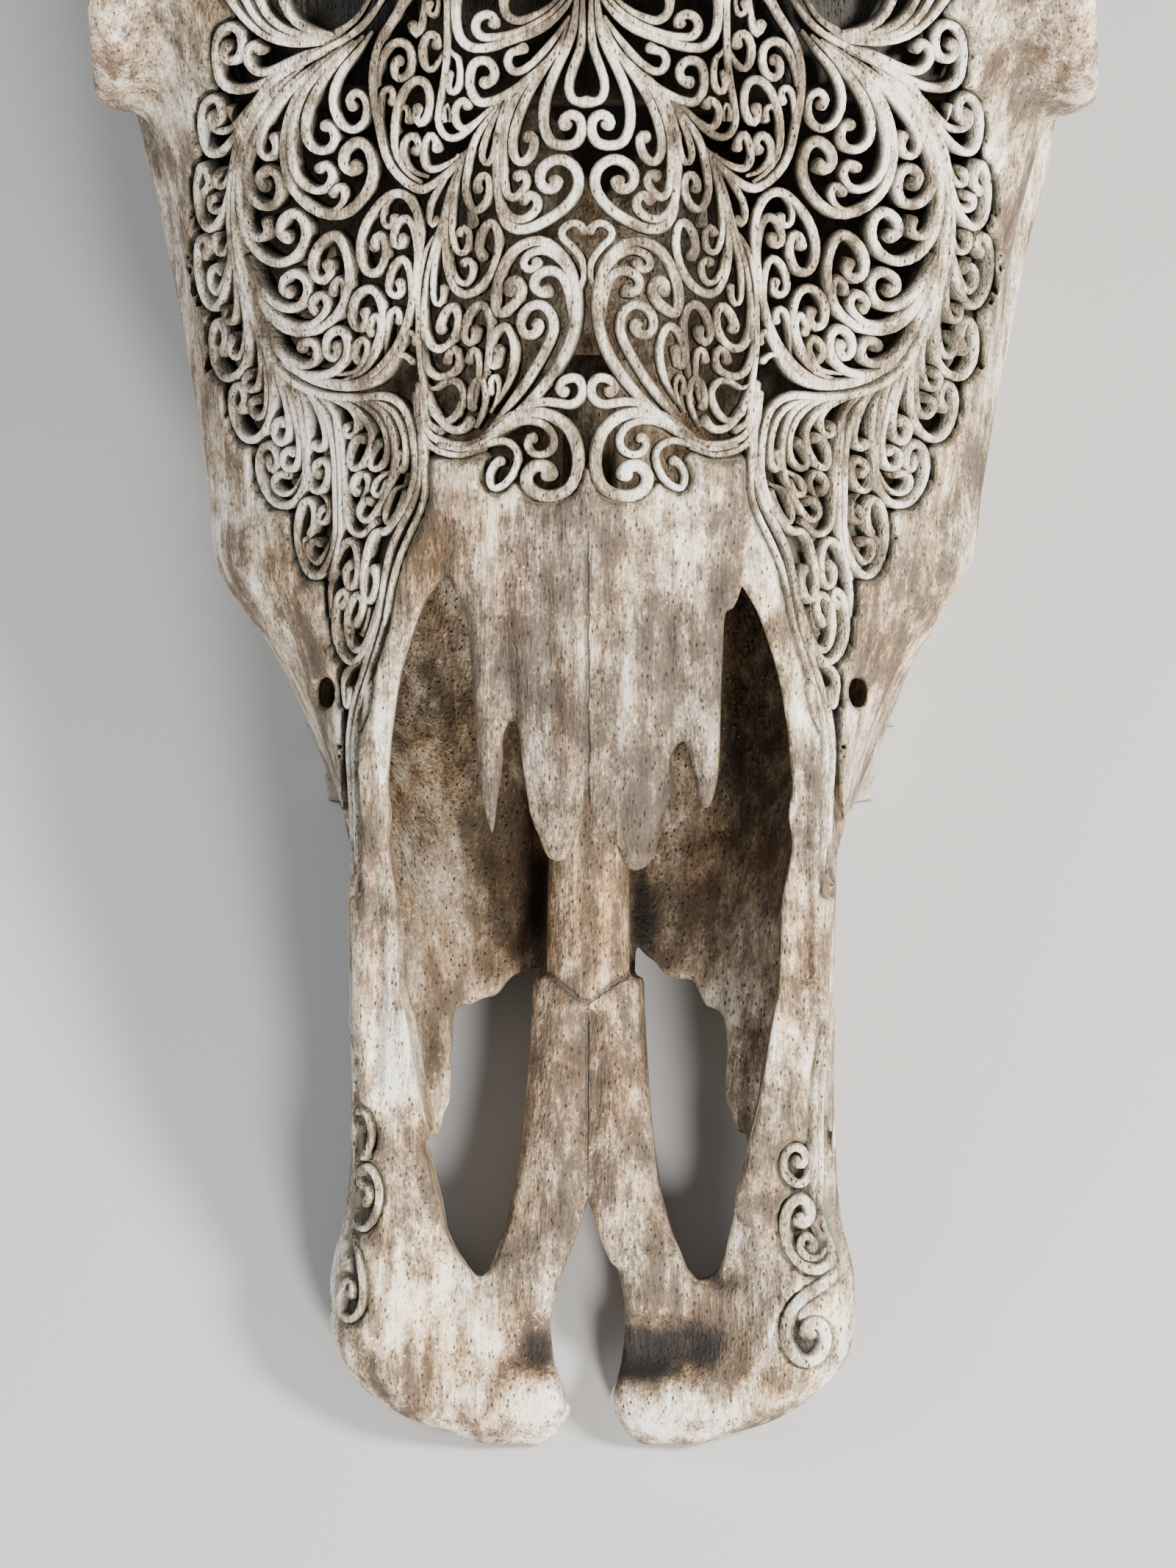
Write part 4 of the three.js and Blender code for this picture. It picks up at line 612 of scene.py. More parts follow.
class Bone:
    """Signed distance to the skull's surface on a grid in the face frame: negative inside the bone."""

    def __init__(self):
        self.field = np.full(GRID_SHAPE, BAND * VOXEL, dtype=np.float32)
        self.axes = [GRID_LOW[i] + VOXEL * np.arange(GRID_SHAPE[i], dtype=np.float32) for i in range(3)]

    def window(self, low, high):
        """Slices of the grid that hold a box with room for the band."""
        room = BAND * VOXEL
        start = np.maximum(np.floor((low - room - GRID_LOW) / VOXEL).astype(int), 0)
        stop = np.minimum(np.ceil((high + room - GRID_LOW) / VOXEL).astype(int) + 1, GRID_SHAPE)
        return tuple(slice(a, b) for a, b in zip(start, stop))

    def mix(self, where, distance, blend, cut):
        """Joins or cuts a form given as distances, with a soft seam of about this width."""
        here = self.field[where]
        if cut:
            soft = np.maximum(blend - np.abs(here + distance), 0.0)
            self.field[where] = np.maximum(here, -distance) + soft * soft / (4 * blend)
        else:
            soft = np.maximum(blend - np.abs(here - distance), 0.0)
            self.field[where] = np.minimum(here, distance) - soft * soft / (4 * blend)

    def skin(self, rings, blend=2.0, cut=False, sides=(1, -1)):
        """Joins or cuts the solid inside rings: on both sides of the head, unless it is on the middle."""
        for side in sides:
            points, quads, triangles = loft(rings * [side, 1, 1])
            grid = vdb.FloatGrid.createLevelSetFromPolygons(
                points.astype(np.float32), triangles=triangles.astype(np.uint32),
                quads=quads.astype(np.uint32), transform=vdb.createLinearTransform(VOXEL),
                halfWidth=float(BAND))
            where = self.window(points.min(0), points.max(0))
            distance = np.zeros([part.stop - part.start for part in where], dtype=np.float32)
            corner = np.round(GRID_LOW / VOXEL).astype(int) + [part.start for part in where]
            grid.copyToArray(distance, ijk=tuple(int(n) for n in corner))
            self.mix(where, distance, blend, cut)

    def prism(self, outline, low, high, blend=1.5, cut=True):
        """Joins or cuts an upright prism over an outline in x and v, between two levels of w."""
        outline = np.asarray(outline, dtype=float)
        where = self.window(np.append(outline.min(0), low), np.append(outline.max(0), high))
        x, v, w = [axis[part] for axis, part in zip(self.axes, where)]
        flat = outline_distance(x[:, None], v[None, :], outline)[:, :, None]
        level = np.maximum(low - w, w - high)[None, None, :]
        self.mix(where, np.maximum(flat, level).astype(np.float32), blend, cut)

    def roughen(self, amount, cell, seed):
        """Moves the surface in and out by smooth seeded noise: lumps of about this size in millimetres."""
        weights = [spline_weights(n, size, 0.37) for n, size in zip(GRID_SHAPE, cell)]
        coarse = np.random.RandomState(seed).uniform(-1, 1, [w.shape[1] for w in weights])
        part = np.einsum("ijk,ck->ijc", coarse, weights[2], optimize=True)
        part = np.einsum("ijc,bj->ibc", part, weights[1], optimize=True)
        for start in range(0, GRID_SHAPE[0], SLAB):
            rows = slice(start, start + SLAB)
            self.field[rows] += amount * np.einsum("ibc,ai->abc", part, weights[0][rows],
                                                   optimize=True).astype(np.float32)

    def sample(self, points):
        """The field at face points."""
        place = np.clip((points - GRID_LOW) / VOXEL, 0, np.array(GRID_SHAPE) - LAST_CELL)
        low = place.astype(int)
        t = place - low
        value = np.zeros(len(points))
        for corner in np.ndindex(2, 2, 2):
            at = low + corner
            share = np.prod(np.where(np.array(corner) == 1, t, 1 - t), axis=1)
            value += share * self.field[at[:, 0], at[:, 1], at[:, 2]]
        return value

    def mesh(self):
        """Points, triangles and quads of the surface in face millimetres."""
        grid = vdb.FloatGrid(BAND * VOXEL)
        grid.transform = vdb.createLinearTransform(VOXEL)
        corner = np.round(GRID_LOW / VOXEL).astype(int)
        grid.copyFromArray(self.field, ijk=tuple(int(n) for n in corner))
        points, triangles, quads = grid.convertToPolygons(isovalue=0.0, adaptivity=0.0)
        return points.astype(float), triangles, quads


def between(values, i, j):
    """A flat grid's values at places between its cells."""
    i0, j0 = i.astype(int), j.astype(int)
    a, b = i - i0, j - j0
    return ((values[i0, j0] * (1 - a) + values[i0 + 1, j0] * a) * (1 - b)
            + (values[i0, j0 + 1] * (1 - a) + values[i0 + 1, j0 + 1] * a) * b)


def outline_distance(x, v, outline):
    """Signed distance in the plane of x and v to a closed outline: negative inside."""
    nearest = np.full(np.broadcast(x, v).shape, np.inf)
    inside = np.zeros(nearest.shape, dtype=bool)
    for (ax, av), (bx, bv) in zip(outline, np.roll(outline, -1, axis=0)):
        dx, dv = bx - ax, bv - av
        t = np.clip(((x - ax) * dx + (v - av) * dv) / max(dx * dx + dv * dv, TINY), 0, 1)
        nearest = np.minimum(nearest, (x - ax - t * dx) ** 2 + (v - av - t * dv) ** 2)
        if dv != 0:
            inside ^= ((av > v) != (bv > v)) & (x < ax + (v - av) * dx / dv)
    return np.where(inside, -1, 1) * np.sqrt(nearest)


def mirrored(outline):
    return [[-x, v] for x, v in reversed(outline)]


def seen_outline(outline):
    """An outline as seen from in front, carried back along the line of sight to its edges."""
    x, v = np.array(outline, dtype=float).T
    away = -np.interp(v, *EDGE_LEVELS) / VIEW_DISTANCE
    return np.stack([x + (x - VIEW_MIDDLE[0] - VIEW_SIDE_STEP) * away, v + (v - VIEW_MIDDLE[1]) * away], -1)


def cavity_rings():
    """Rings of the hollow inside the snout, one wall inside the head's sections."""
    rows = []
    for v, *half in [row for row in HEAD_SECTIONS if CAVITY_FRONT < row[0] <= CAVITY_BACK]:
        wide, level = half[len(ROOF_BONE)]
        floor = half[-1][1] + FLOOR_WALL
        upper = [[x - dx, w - dw] for (x, w), (dx, dw) in zip(half, ROOF_BONE)]
        lower = [[wide - dx, floor + dw] for dx, dw in LOWER_AIR]
        lower[0][1] = max(level, lower[0][1])
        rows.append([v, *upper, *lower, [0, floor]])
    rows.insert(0, [CAVITY_FRONT] + rows[0][1:])
    return mirrored_rings(rows, 3, 2)


def sinus_rings():
    """Rings of the flat hollow behind the forehead, with a crowned roof."""
    rings = []
    for v, half, top, under in smooth_rows(SINUS, 4):
        right = [[half - 8, under], [half, under + 6], [half, top - 12], [half * 0.6, top - 1]]
        left = [[-x, w] for x, w in reversed(right)]
        section = left[2:] + right + left[:2]
        rings.append([[x, v, w] for x, w in section])
    return np.array(rings)


def incisive_rings():
    """Rings of the right front bone: a rounded lip, a hollow behind it, and a raised outer rim."""
    rings = []
    for v, inner, outer, crest, hollow, rim, under in smooth_rows(INCISIVE, 6):
        levels = {"crest": crest, "hollow": hollow, "rim": rim, "under": under, "inner": (crest + under) / 2,
                  "outer": (rim + under) / 2, "slope": (hollow + rim) / 2}
        corners = [[inner + share * (outer - inner), levels[name]] for share, name in INCISIVE_SECTION]
        section = smooth_rows(corners, 3)
        rings.append([[x, v, w] for x, w in section[:-1]])
    return np.array(rings)


def ridge_rings(rows, groove=0.0):
    """Rings of a ridge with rounded top edges and a groove along its middle."""
    rings = []
    for v, half, top, under in smooth_rows(rows, 4):
        right = [[half * share, top - drop - groove * deep] for share, drop, deep in RIDGE_SECTION]
        right.append([half, under])
        section = [[-x, w] for x, w in reversed(right)] + right[1:]
        rings.append([[MIDDLE_X + x, v, w] for x, w in section[::-1]])
    return np.array(rings)


def surface_rod(rows, surface, side):
    """Rings of a rod along the surface that leaves a groove (side 1) or stands out as a ridge (side -1)."""
    x, v, radius, depth = np.array(rows, dtype=float).T
    return rod_rings(np.stack([x, v, surface.level(x, v) + side * (radius - depth), radius], -1))


def shape_bone():
    """The bone with its openings, its outer surface before them, and the carving's lines and region."""
    bone = Bone()
    bone.skin(mirrored_rings(HEAD_SECTIONS, 4, 4), sides=(1,))
    bone.skin(cup_rings(), blend=7.0)
    bone.skin(rod_rings(CHEEK_RIDGE), blend=7.0)
    for amount, cell, seed in ROUGHNESS:
        bone.roughen(amount, cell, seed)
    head = bone.field.copy()
    bone.skin(incisive_rings(), blend=4.0)
    surface = Surface(bone)
    outer = Bone()
    outer.field = bone.field
    bone.field = head
    bone.skin(cavity_rings(), cut=True, sides=(1,))
    bone.skin(sinus_rings(), cut=True, sides=(1,))
    aperture = BAR_INNER_EDGE + NASAL_RIGHT + NASAL_LEFT + mirrored(BAR_INNER_EDGE)
    bone.skin(surface_rod(BAR_RIDGE, surface, -1), blend=2.5)
    for rows in NASAL_RIDGES:
        bone.skin(surface_rod(rows, surface, -1), blend=1.5, sides=(1,))
    bone.prism(smooth_rows(aperture, 3), APERTURE_FLOOR, ABOVE_FACE, blend=0.8)
    bone.skin(incisive_rings(), blend=4.0)
    for outline in (SEEN_FISSURE_RIGHT, SEEN_FISSURE_LEFT):
        bone.prism(seen_outline(outline), BELOW_PALATE, ABOVE_FACE, blend=1.0)
    bone.skin(ridge_rings(MIDDLE_RODS, groove=RODS_GROOVE), blend=2.0, sides=(1,))
    bone.skin(ridge_rings(MIDDLE_RIDGE), blend=1.5, sides=(1,))
    bone.prism(seen_outline(SEEN_TIP_GAP), BELOW_PALATE, ABOVE_FACE, blend=1.0)
    for sides, centre, radii in DENTS:
        bone.skin(ball_rings(centre, radii), blend=1.8, cut=True, sides=sides)
    for rows in GROOVES:
        bone.skin(surface_rod(rows, surface, 1), blend=1.5, cut=True, sides=(1,))
    bone.skin(rod_rings(CHEEK_ARCH, flat=1.4), blend=6.0)
    bone.skin(ball_rings(ORBIT_HOLLOW, ORBIT_HOLLOW_RADII), blend=4.0, cut=True)
    bone.skin(rod_rings(HORN_CORE, sides=24), blend=8.0)
    bone.skin(rod_rings(BASE_ROD, flat=0.8), blend=8.0, sides=(1,))
    bone.skin(rod_rings(NECK_CREST), blend=6.0, sides=(1,))
    bone.skin(ball_rings(NECK_HOLLOW, NECK_HOLLOW_RADII), blend=6.0, cut=True)
    bone.skin(ball_rings(CONDYLE, CONDYLE_RADII), blend=6.0)
    bone.skin(ball_rings(BULLA, BULLA_RADII), blend=6.0)
    bone.skin(rod_rings(JUGULAR, flat=0.62), blend=5.0)
    bone.skin(rod_rings(PALATE_WING, flat=2.6), blend=5.0)
    bone.skin(rod_rings(REAR_NOSTRIL), blend=4.0, cut=True, sides=(1,))
    bone.skin(ball_rings(BRAIN, BRAIN_RADII), cut=True, sides=(1,))
    bone.skin(rod_rings(SPINAL_HOLE), blend=3.0, cut=True, sides=(1,))
    lines = {side: carving_lines(side, surface) for side in (1, -1)}
    mask = carving_mask(lines)
    open_carving(bone, outer, surface, mask)
    return bone, outer, surface, lines, mask


# The carving: bands that stand on the face's own surface, over bone that is cut away between them
RIDGE_PROFILE = [(-1.16, -4.6), (-1.12, -1.6), (-0.95, -0.6), (-0.78, -0.08), (-0.6, 0.05), (0.6, 0.05),
                 (0.78, -0.08), (0.95, -0.6), (1.12, -1.6), (1.16, -4.6)]
FINE_STEP = 0.75
LONG_STEP = 2.4
STROKE_STEPS = 12  # fine steps between two drawn points
TURN_STEP = 0.30  # how far a band turns from ring to ring where it is tight, in radians
TURN_WINDOW = 9  # fine steps over which its turning is evened out
ROOT_TAPER = 8.0  # a band grows over this length, from this share of its width and this low
ROOT_WIDTH = 0.5
ROOT_SINK = 0.8
END_RINGS = np.array([0.95, 0.7, 0.35])  # how far out the rings of a round end lie
ROOT_END = 0.6  # how far a round end reaches, in half widths
EYE_END = 1.1
EYE_SINK = [0.1, 0.3, 0.7]
EYE_WIDTH = 1.25
BAND_WIDTH = 0.9
BUD_WIDTH = 0.33  # how much wider a band gets at the volute's eye, and over which reach in half widths
BUD_REACH = 1.3
BUD_SHADE = 0.6
BAND_SEED = 7
BAND_LIFT = 0.15  # how much higher or lower one band may stand than another
BAND_SHADE = 0.3  # how much darker it may be, and how much its low ends are
LOW_SHADE = 0.4
# Grime and painted shade at the bands' end caps and down their sides, darker deeper down
END_GRIME_AND_SHADE = 0.4
WALL_GRIME_AND_SHADE = [(0.75, (0.05, 1.5)), (0.25, (1.5, 4.5))]  # shares, and the depths over which they come
BAND_STAINS = [0.35, 0.5, 0.5]  # how much of the dark stains and painted shadows, warm stains, and light stains and painted highlights the bands take
FLIP_LINE = 303.0
UPPER_NARROWING = 0.14  # how much narrower the turned part gets over v
UPPER_START = 325.0
UPPER_REACH = 60.0
SIGHT_STEPS = 4
MASK_CELL = 0.5
MASK_LOW = (-95.0, 10.0)
MASK_SHAPE = (381, 836)
MASK_CLOSING = 2.2
MASK_FAR = 8.0
SPOT_CELLS = 10
EDGE_CELLS = 16
MASK_MARGIN = 0.25  # how far the deep cut reaches past the outermost bands' middle lines
GROOVE_MARGIN = 1.55  # how far the groove round the carving reaches
GROOVE_DEPTH = 1.5
PIERCE_DEPTH = 8.0
RELIEF_DEPTH = 3.6
RELIEF_END = 206.0  # the carving is pierced past this v, or nearer the middle than this x
RELIEF_FADE = 10.0
RELIEF_X = 33.0
SNOUT_DEPTH = 2.2  # straight down, so that the front bone's rim stays
HEAD_DEPTH = 16.0  # the same past the snout
SNOUT_END = (110, 130)
CARVING_BLEND = 0.8
CARVING_WEAR = 0.75  # how much lighter the bands' worn tops are
RIM_LOW = -28.0  # the lowest w of a band on the snout, up to RIM_END
RIM_END = 135.0
RIM_STEP = 0.3
RIM_STEPS = 40


def upper_stroke(stroke):
    """A stroke turned over the line through the foci, for the part of the forehead above it."""
    flat = np.array(stroke[1:], dtype=float).reshape(-1, 2)
    flat[:, 1] = 2 * FLIP_LINE - flat[:, 1]
    flat[:, 0] *= 1 - UPPER_NARROWING * np.clip((flat[:, 1] - UPPER_START) / UPPER_REACH, 0, 1)
    return [stroke[0], *flat.ravel()]


def seen_to_face(points, surface, side):
    """Points as seen from in front, carried back along the line of sight onto the surface."""
    found = points.copy()
    eye_x = side * (VIEW_MIDDLE[0] + VIEW_SIDE_STEP)
    for _ in range(SIGHT_STEPS):
        away = -surface.level(side * found[:, 0], found[:, 1]) / VIEW_DISTANCE
        found[:, 0] = points[:, 0] + (points[:, 0] - eye_x) * away
        found[:, 1] = points[:, 1] + (points[:, 1] - VIEW_MIDDLE[1]) * away
    return found


def keep_on_rim(line, surface, side):
    """Moves points that lie past the snout's outer rim back onto it."""
    for _ in range(RIM_STEPS):
        past = (surface.level(side * line[:, 0], line[:, 1]) < RIM_LOW) & (line[:, 1] < RIM_END)
        line[:, 0] -= RIM_STEP * past
    return line


class Surface:
    """Height of the face's outer surface over x and v, before the openings are cut."""

    def __init__(self, bone):
        inside = bone.field < 0
        top = inside.shape[2] - 1 - np.argmax(inside[:, :, ::-1], axis=2)
        top = np.clip(top, 0, inside.shape[2] - 2)
        here = np.take_along_axis(bone.field, top[:, :, None], 2)[:, :, 0]
        above = np.take_along_axis(bone.field, top[:, :, None] + 1, 2)[:, :, 0]
        part = np.clip(here / np.where(here - above == 0, -1, here - above), 0, 1)
        self.height = GRID_LOW[2] + VOXEL * (top + part)
        self.height[~inside.any(axis=2)] = GRID_LOW[2]

    def level(self, x, v):
        i = np.clip((x - GRID_LOW[0]) / VOXEL, 0, GRID_SHAPE[0] - LAST_CELL)
        j = np.clip((v - GRID_LOW[1]) / VOXEL, 0, GRID_SHAPE[1] - LAST_CELL)
        return between(self.height, i, j)

    def normal(self, x, v, reach=2.0):
        slope_x = (self.level(x + reach, v) - self.level(x - reach, v)) / (2 * reach)
        slope_v = (self.level(x, v + reach) - self.level(x, v - reach)) / (2 * reach)
        made = np.stack([-slope_x, -slope_v, np.ones_like(slope_x)], -1)
        return made / np.linalg.norm(made, axis=-1)[..., None]


def stroke_line(stroke):
    """Evenly drawn points of a stroke: close together where it turns tightly."""
    fine = smooth_rows(np.array(stroke[1:]).reshape(-1, 2), STROKE_STEPS)
    step = np.diff(fine, axis=0)
    length = np.hypot(*step.T)
    heading = np.unwrap(np.arctan2(step[:, 1], step[:, 0]))
    turn = np.pad(np.abs(np.gradient(heading)) / np.maximum(length, TINY), TURN_WINDOW // 2, mode="edge")
    turn = np.convolve(turn, np.ones(TURN_WINDOW) / TURN_WINDOW, mode="valid")
    spacing = np.clip(TURN_STEP / np.maximum(turn, TINY), FINE_STEP, LONG_STEP)
    along = np.concatenate([[0], np.cumsum(length / spacing)])
    count = max(int(np.ceil(along[-1])), 4)
    wanted = np.linspace(0, along[-1], count + 1)
    return np.stack([np.interp(wanted, along, fine[:, i]) for i in range(2)], -1)


def carving_lines(side, surface):
    """Width and middle line on the surface of every stroke of one half, with x from the middle outwards."""
    lower = CENTRE_STROKES + MIDDLE_STROKES + HEART_STROKES + SIDE_STROKES + LATERAL_STROKES
    snout = SNOUT_RIGHT_STROKES if side > 0 else SNOUT_LEFT_STROKES
    drawn = [(stroke, 1) for stroke in lower + CHEEK_STROKES + [upper_stroke(stroke) for stroke in lower]]
    drawn += [(stroke, side) for stroke in snout]
    return [(stroke[0] / 2, keep_on_rim(seen_to_face(stroke_line(stroke), surface, seen), surface, side))
            for stroke, seen in drawn]


def ridge(width, line, side, surface, lift):
    """Rings of one carved band, round at both ends, and how low each is. The volute's eye is a bud."""
    length = np.concatenate([[0], np.cumsum(np.hypot(*np.diff(line, axis=0).T))])
    total = length[-1]
    first, last = line[0] - line[1], line[-1] - line[-2]
    first /= np.linalg.norm(first)
    last /= np.linalg.norm(last)
    line = np.vstack([line[0] + first * width * ROOT_END * END_RINGS[:, None], line,
                      line[-1] + last * width * EYE_END * END_RINGS[::-1, None]])
    round_end = np.sqrt(1 - END_RINGS ** 2)
    more = len(END_RINGS)
    grown = ROOT_WIDTH + (1 - ROOT_WIDTH) * np.clip(length / ROOT_TAPER, 0, 1)
    scale = np.concatenate([ROOT_WIDTH * round_end, grown, round_end[::-1]])
    bud = bell(total - length, 0, BUD_REACH * width)
    scale[more:-more] *= BAND_WIDTH + BUD_WIDTH * bud
    scale[-more:] *= EYE_WIDTH
    sink = np.concatenate([np.full(more, ROOT_SINK), ROOT_SINK * np.clip(1 - length / ROOT_TAPER, 0, 1),
                           EYE_SINK])
    x = side * line[:, 0]
    centre = np.stack([x, line[:, 1], surface.level(x, line[:, 1])], -1)
    normal = surface.normal(x, line[:, 1])
    tangent = np.gradient(centre, axis=0)
    tangent /= np.linalg.norm(tangent, axis=1)[:, None]
    across = np.cross(normal, tangent)
    across /= np.linalg.norm(across, axis=1)[:, None]
    profile = np.array(RIDGE_PROFILE)
    rings = (centre[:, None] + across[:, None] * (profile[:, 0] * width)[None, :, None] * scale[:, None, None]
             + normal[:, None] * ((profile[:, 1] + lift)[None, :] - sink[:, None])[..., None])
    return rings, np.clip(sink / ROOT_SINK + np.pad(BUD_SHADE * bud, more, mode="edge"), 0, 1)


def carve(side, lines, surface, material):
    """One half's carved bands, joined in one mesh, with grime and painted shade in their sides."""
    points, faces, ends, grime_and_shade, dark, start = [], [], [], [], [], 0
    draw = random.Random(BAND_SEED)
    foot = np.array([level for _, level in RIDGE_PROFILE])
    # Grime and painted shade down the bands' sides
    walls = sum(share * ease(-foot, *reach) for share, reach in WALL_GRIME_AND_SHADE)
    for width, line in lines:
        rings, low = ridge(width, line, side, surface, draw.uniform(-BAND_LIFT, BAND_LIFT))
        ring_points, quads, triangles = loft(rings)
        points.append(ring_points)
        faces.append(quads + start)
        ends.append(triangles + start)
        start += len(ring_points)
        grime_and_shade.append(np.append(np.tile(walls, len(rings)), [END_GRIME_AND_SHADE] * 2))
        shade = draw.uniform(0, BAND_SHADE) + LOW_SHADE * low
        dark.append(np.append(np.repeat(shade, len(foot)), [END_GRIME_AND_SHADE] * 2))
    made = make_mesh("carving_" + SIDE_NAMES[side], np.vstack(points), np.vstack(faces), np.vstack(ends),
                     material)
    add_colours(made, "dirt_and_shade", np.stack([np.concatenate(grime_and_shade), np.zeros(start), np.zeros(start)], -1))
    # The bands take shares of the stains, painted shadows and painted highlights
    stains_and_light_marks = stains_and_painted_light(np.vstack(points)) * BAND_STAINS
    stains_and_light_marks += np.stack([np.concatenate(dark), np.zeros(start), np.full(start, CARVING_WEAR)], -1)
    add_colours(made, "stains_and_light", stains_and_light_marks)
    return made


def carving_mask(lines):
    """Signed distance in x and v to the outermost bands' middle lines: negative inside the carved region."""
    dilated = np.full(MASK_SHAPE, np.inf)
    window = np.arange(-SPOT_CELLS, SPOT_CELLS + 1)
    for side in (1, -1):
        for _, line in lines[side]:
            for x, v in line * [side, 1]:
                i = int(round((x - MASK_LOW[0]) / MASK_CELL))
                j = int(round((v - MASK_LOW[1]) / MASK_CELL))
                if not (SPOT_CELLS <= i < MASK_SHAPE[0] - SPOT_CELLS
                        and SPOT_CELLS <= j < MASK_SHAPE[1] - SPOT_CELLS):
                    continue
                dx = MASK_LOW[0] + (i + window) * MASK_CELL - x
                dv = MASK_LOW[1] + (j + window) * MASK_CELL - v
                away = np.hypot(dx[:, None], dv[None, :])
                spot = (slice(i - SPOT_CELLS, i + SPOT_CELLS + 1), slice(j - SPOT_CELLS, j + SPOT_CELLS + 1))
                dilated[spot] = np.minimum(dilated[spot], away)
    closed = dilated < MASK_CLOSING
    outside = np.zeros(MASK_SHAPE, dtype=bool)
    outside[0, 0] = outside[-1, 0] = outside[MASK_SHAPE[0] // 2, 0] = True
    while True:
        grown = outside.copy()
        grown[1:] |= outside[:-1]
        grown[:-1] |= outside[1:]
        grown[:, 1:] |= outside[:, :-1]
        grown[:, :-1] |= outside[:, 1:]
        grown &= ~closed
        if (grown == outside).all():
            break
        outside = grown
    edge = outside & ~(np.roll(outside, 1, 0) & np.roll(outside, -1, 0)
                       & np.roll(outside, 1, 1) & np.roll(outside, -1, 1))
    edge[0] = edge[-1] = edge[:, 0] = edge[:, -1] = False
    reach = EDGE_CELLS
    window = np.arange(-reach, reach + 1) * MASK_CELL
    disc = np.hypot(window[:, None], window[None, :])
    padded = np.full((MASK_SHAPE[0] + 2 * reach, MASK_SHAPE[1] + 2 * reach), MASK_FAR)
    for i, j in np.argwhere(edge):
        spot = (slice(i, i + 2 * reach + 1), slice(j, j + 2 * reach + 1))
        padded[spot] = np.minimum(padded[spot], disc)
    distance = padded[reach:-reach, reach:-reach]
    return np.where(outside, distance, -distance) + MASK_CLOSING


def mask_at(mask, x, v):
    """The mask's signed distance at points: far outside where it has no cell."""
    i = np.clip((x - MASK_LOW[0]) / MASK_CELL, 0, MASK_SHAPE[0] - LAST_CELL)
    j = (v - MASK_LOW[1]) / MASK_CELL
    known = (j >= 0) & (j < MASK_SHAPE[1] - LAST_CELL)
    j = np.clip(j, 0, MASK_SHAPE[1] - LAST_CELL)
    return np.where(known, between(mask, i, j), MASK_FAR)


def open_carving(bone, outer, surface, mask):
    """Cuts the bone away inside the carved region, right through the roof and in relief on the cheeks."""
    x, v, w = bone.axes
    flat = mask_at(mask, *np.broadcast_arrays(x[:, None], v[None, :]))
    relief = np.clip((RELIEF_END - v[None, :]) / RELIEF_FADE, 0, 1) * (np.abs(x)[:, None] > RELIEF_X)
    depth = PIERCE_DEPTH + (RELIEF_DEPTH - PIERCE_DEPTH) * relief
    groove = np.full(depth.shape, GROOVE_DEPTH)
    reach = (SNOUT_DEPTH + (HEAD_DEPTH - SNOUT_DEPTH) * ease(v, *SNOUT_END))[None, :, None]
    for start in range(0, GRID_SHAPE[0], SLAB):
        part = slice(start, start + SLAB)
        under = surface.height[part, :, None] - reach - w[None, None, :]
        for edge, deep in ((flat - MASK_MARGIN, depth), (flat - GROOVE_MARGIN, groove)):
            shell = -(outer.field[part] + deep[part, :, None])
            cut = np.maximum(np.maximum(edge[part, :, None], shell), under).astype(np.float32)
            bone.mix((part, slice(None), slice(None)), cut, CARVING_BLEND, True)


def make_mesh(name, points, quads, triangles, material):
    """A closed mesh object from face millimetres, with its faces turned outwards and smooth shading."""
    corners = [points[triangles], points[quads[:, :3]], points[quads[:, [0, 2, 3]]]]
    volume = sum(np.einsum("ij,ij->", c[:, 0], np.cross(c[:, 1], c[:, 2])) for c in corners)
    turn = 1 if volume > 0 else -1
    mesh = bpy.data.meshes.new(name)
    mesh.from_pydata(to_frame(points).tolist(), [], triangles[:, ::turn].tolist() + quads[:, ::turn].tolist())
    mesh.materials.append(material)
    made = bpy.data.objects.new(name, mesh)
    bpy.context.scene.collection.objects.link(made)
    smooth(mesh)
    return made


def smooth(mesh):
    mesh.polygons.foreach_set("use_smooth", np.ones(len(mesh.polygons), dtype=bool))
    mesh.update()


def thin_out(made, share):
    """Joins faces until this share is left, first where the surface is flattest."""
    modifier = made.modifiers.new("thin", "DECIMATE")
    modifier.ratio = share
    modifier.use_collapse_triangulate = True
    full = made.data
    mesh = bpy.data.meshes.new_from_object(made.evaluated_get(bpy.context.evaluated_depsgraph_get()))
    made.modifiers.clear()
    made.data = mesh
    bpy.data.meshes.remove(full)
    mesh.name = made.name
    smooth(mesh)


def vertex_places(made):
    """A mesh object's points in face millimetres."""
    flat = np.empty(3 * len(made.data.vertices), dtype=np.float32)
    made.data.vertices.foreach_get("co", flat)
    return to_face(flat.reshape(-1, 3).astype(float))


def add_colours(made, name, values):
    """Three numbers a point, from 0 to 1, for the material."""
    layer = made.data.color_attributes.new(name, "FLOAT_COLOR", "POINT")
    layer.data.foreach_set("color", np.column_stack([np.clip(values, 0, 1), np.ones(len(values))]).ravel())
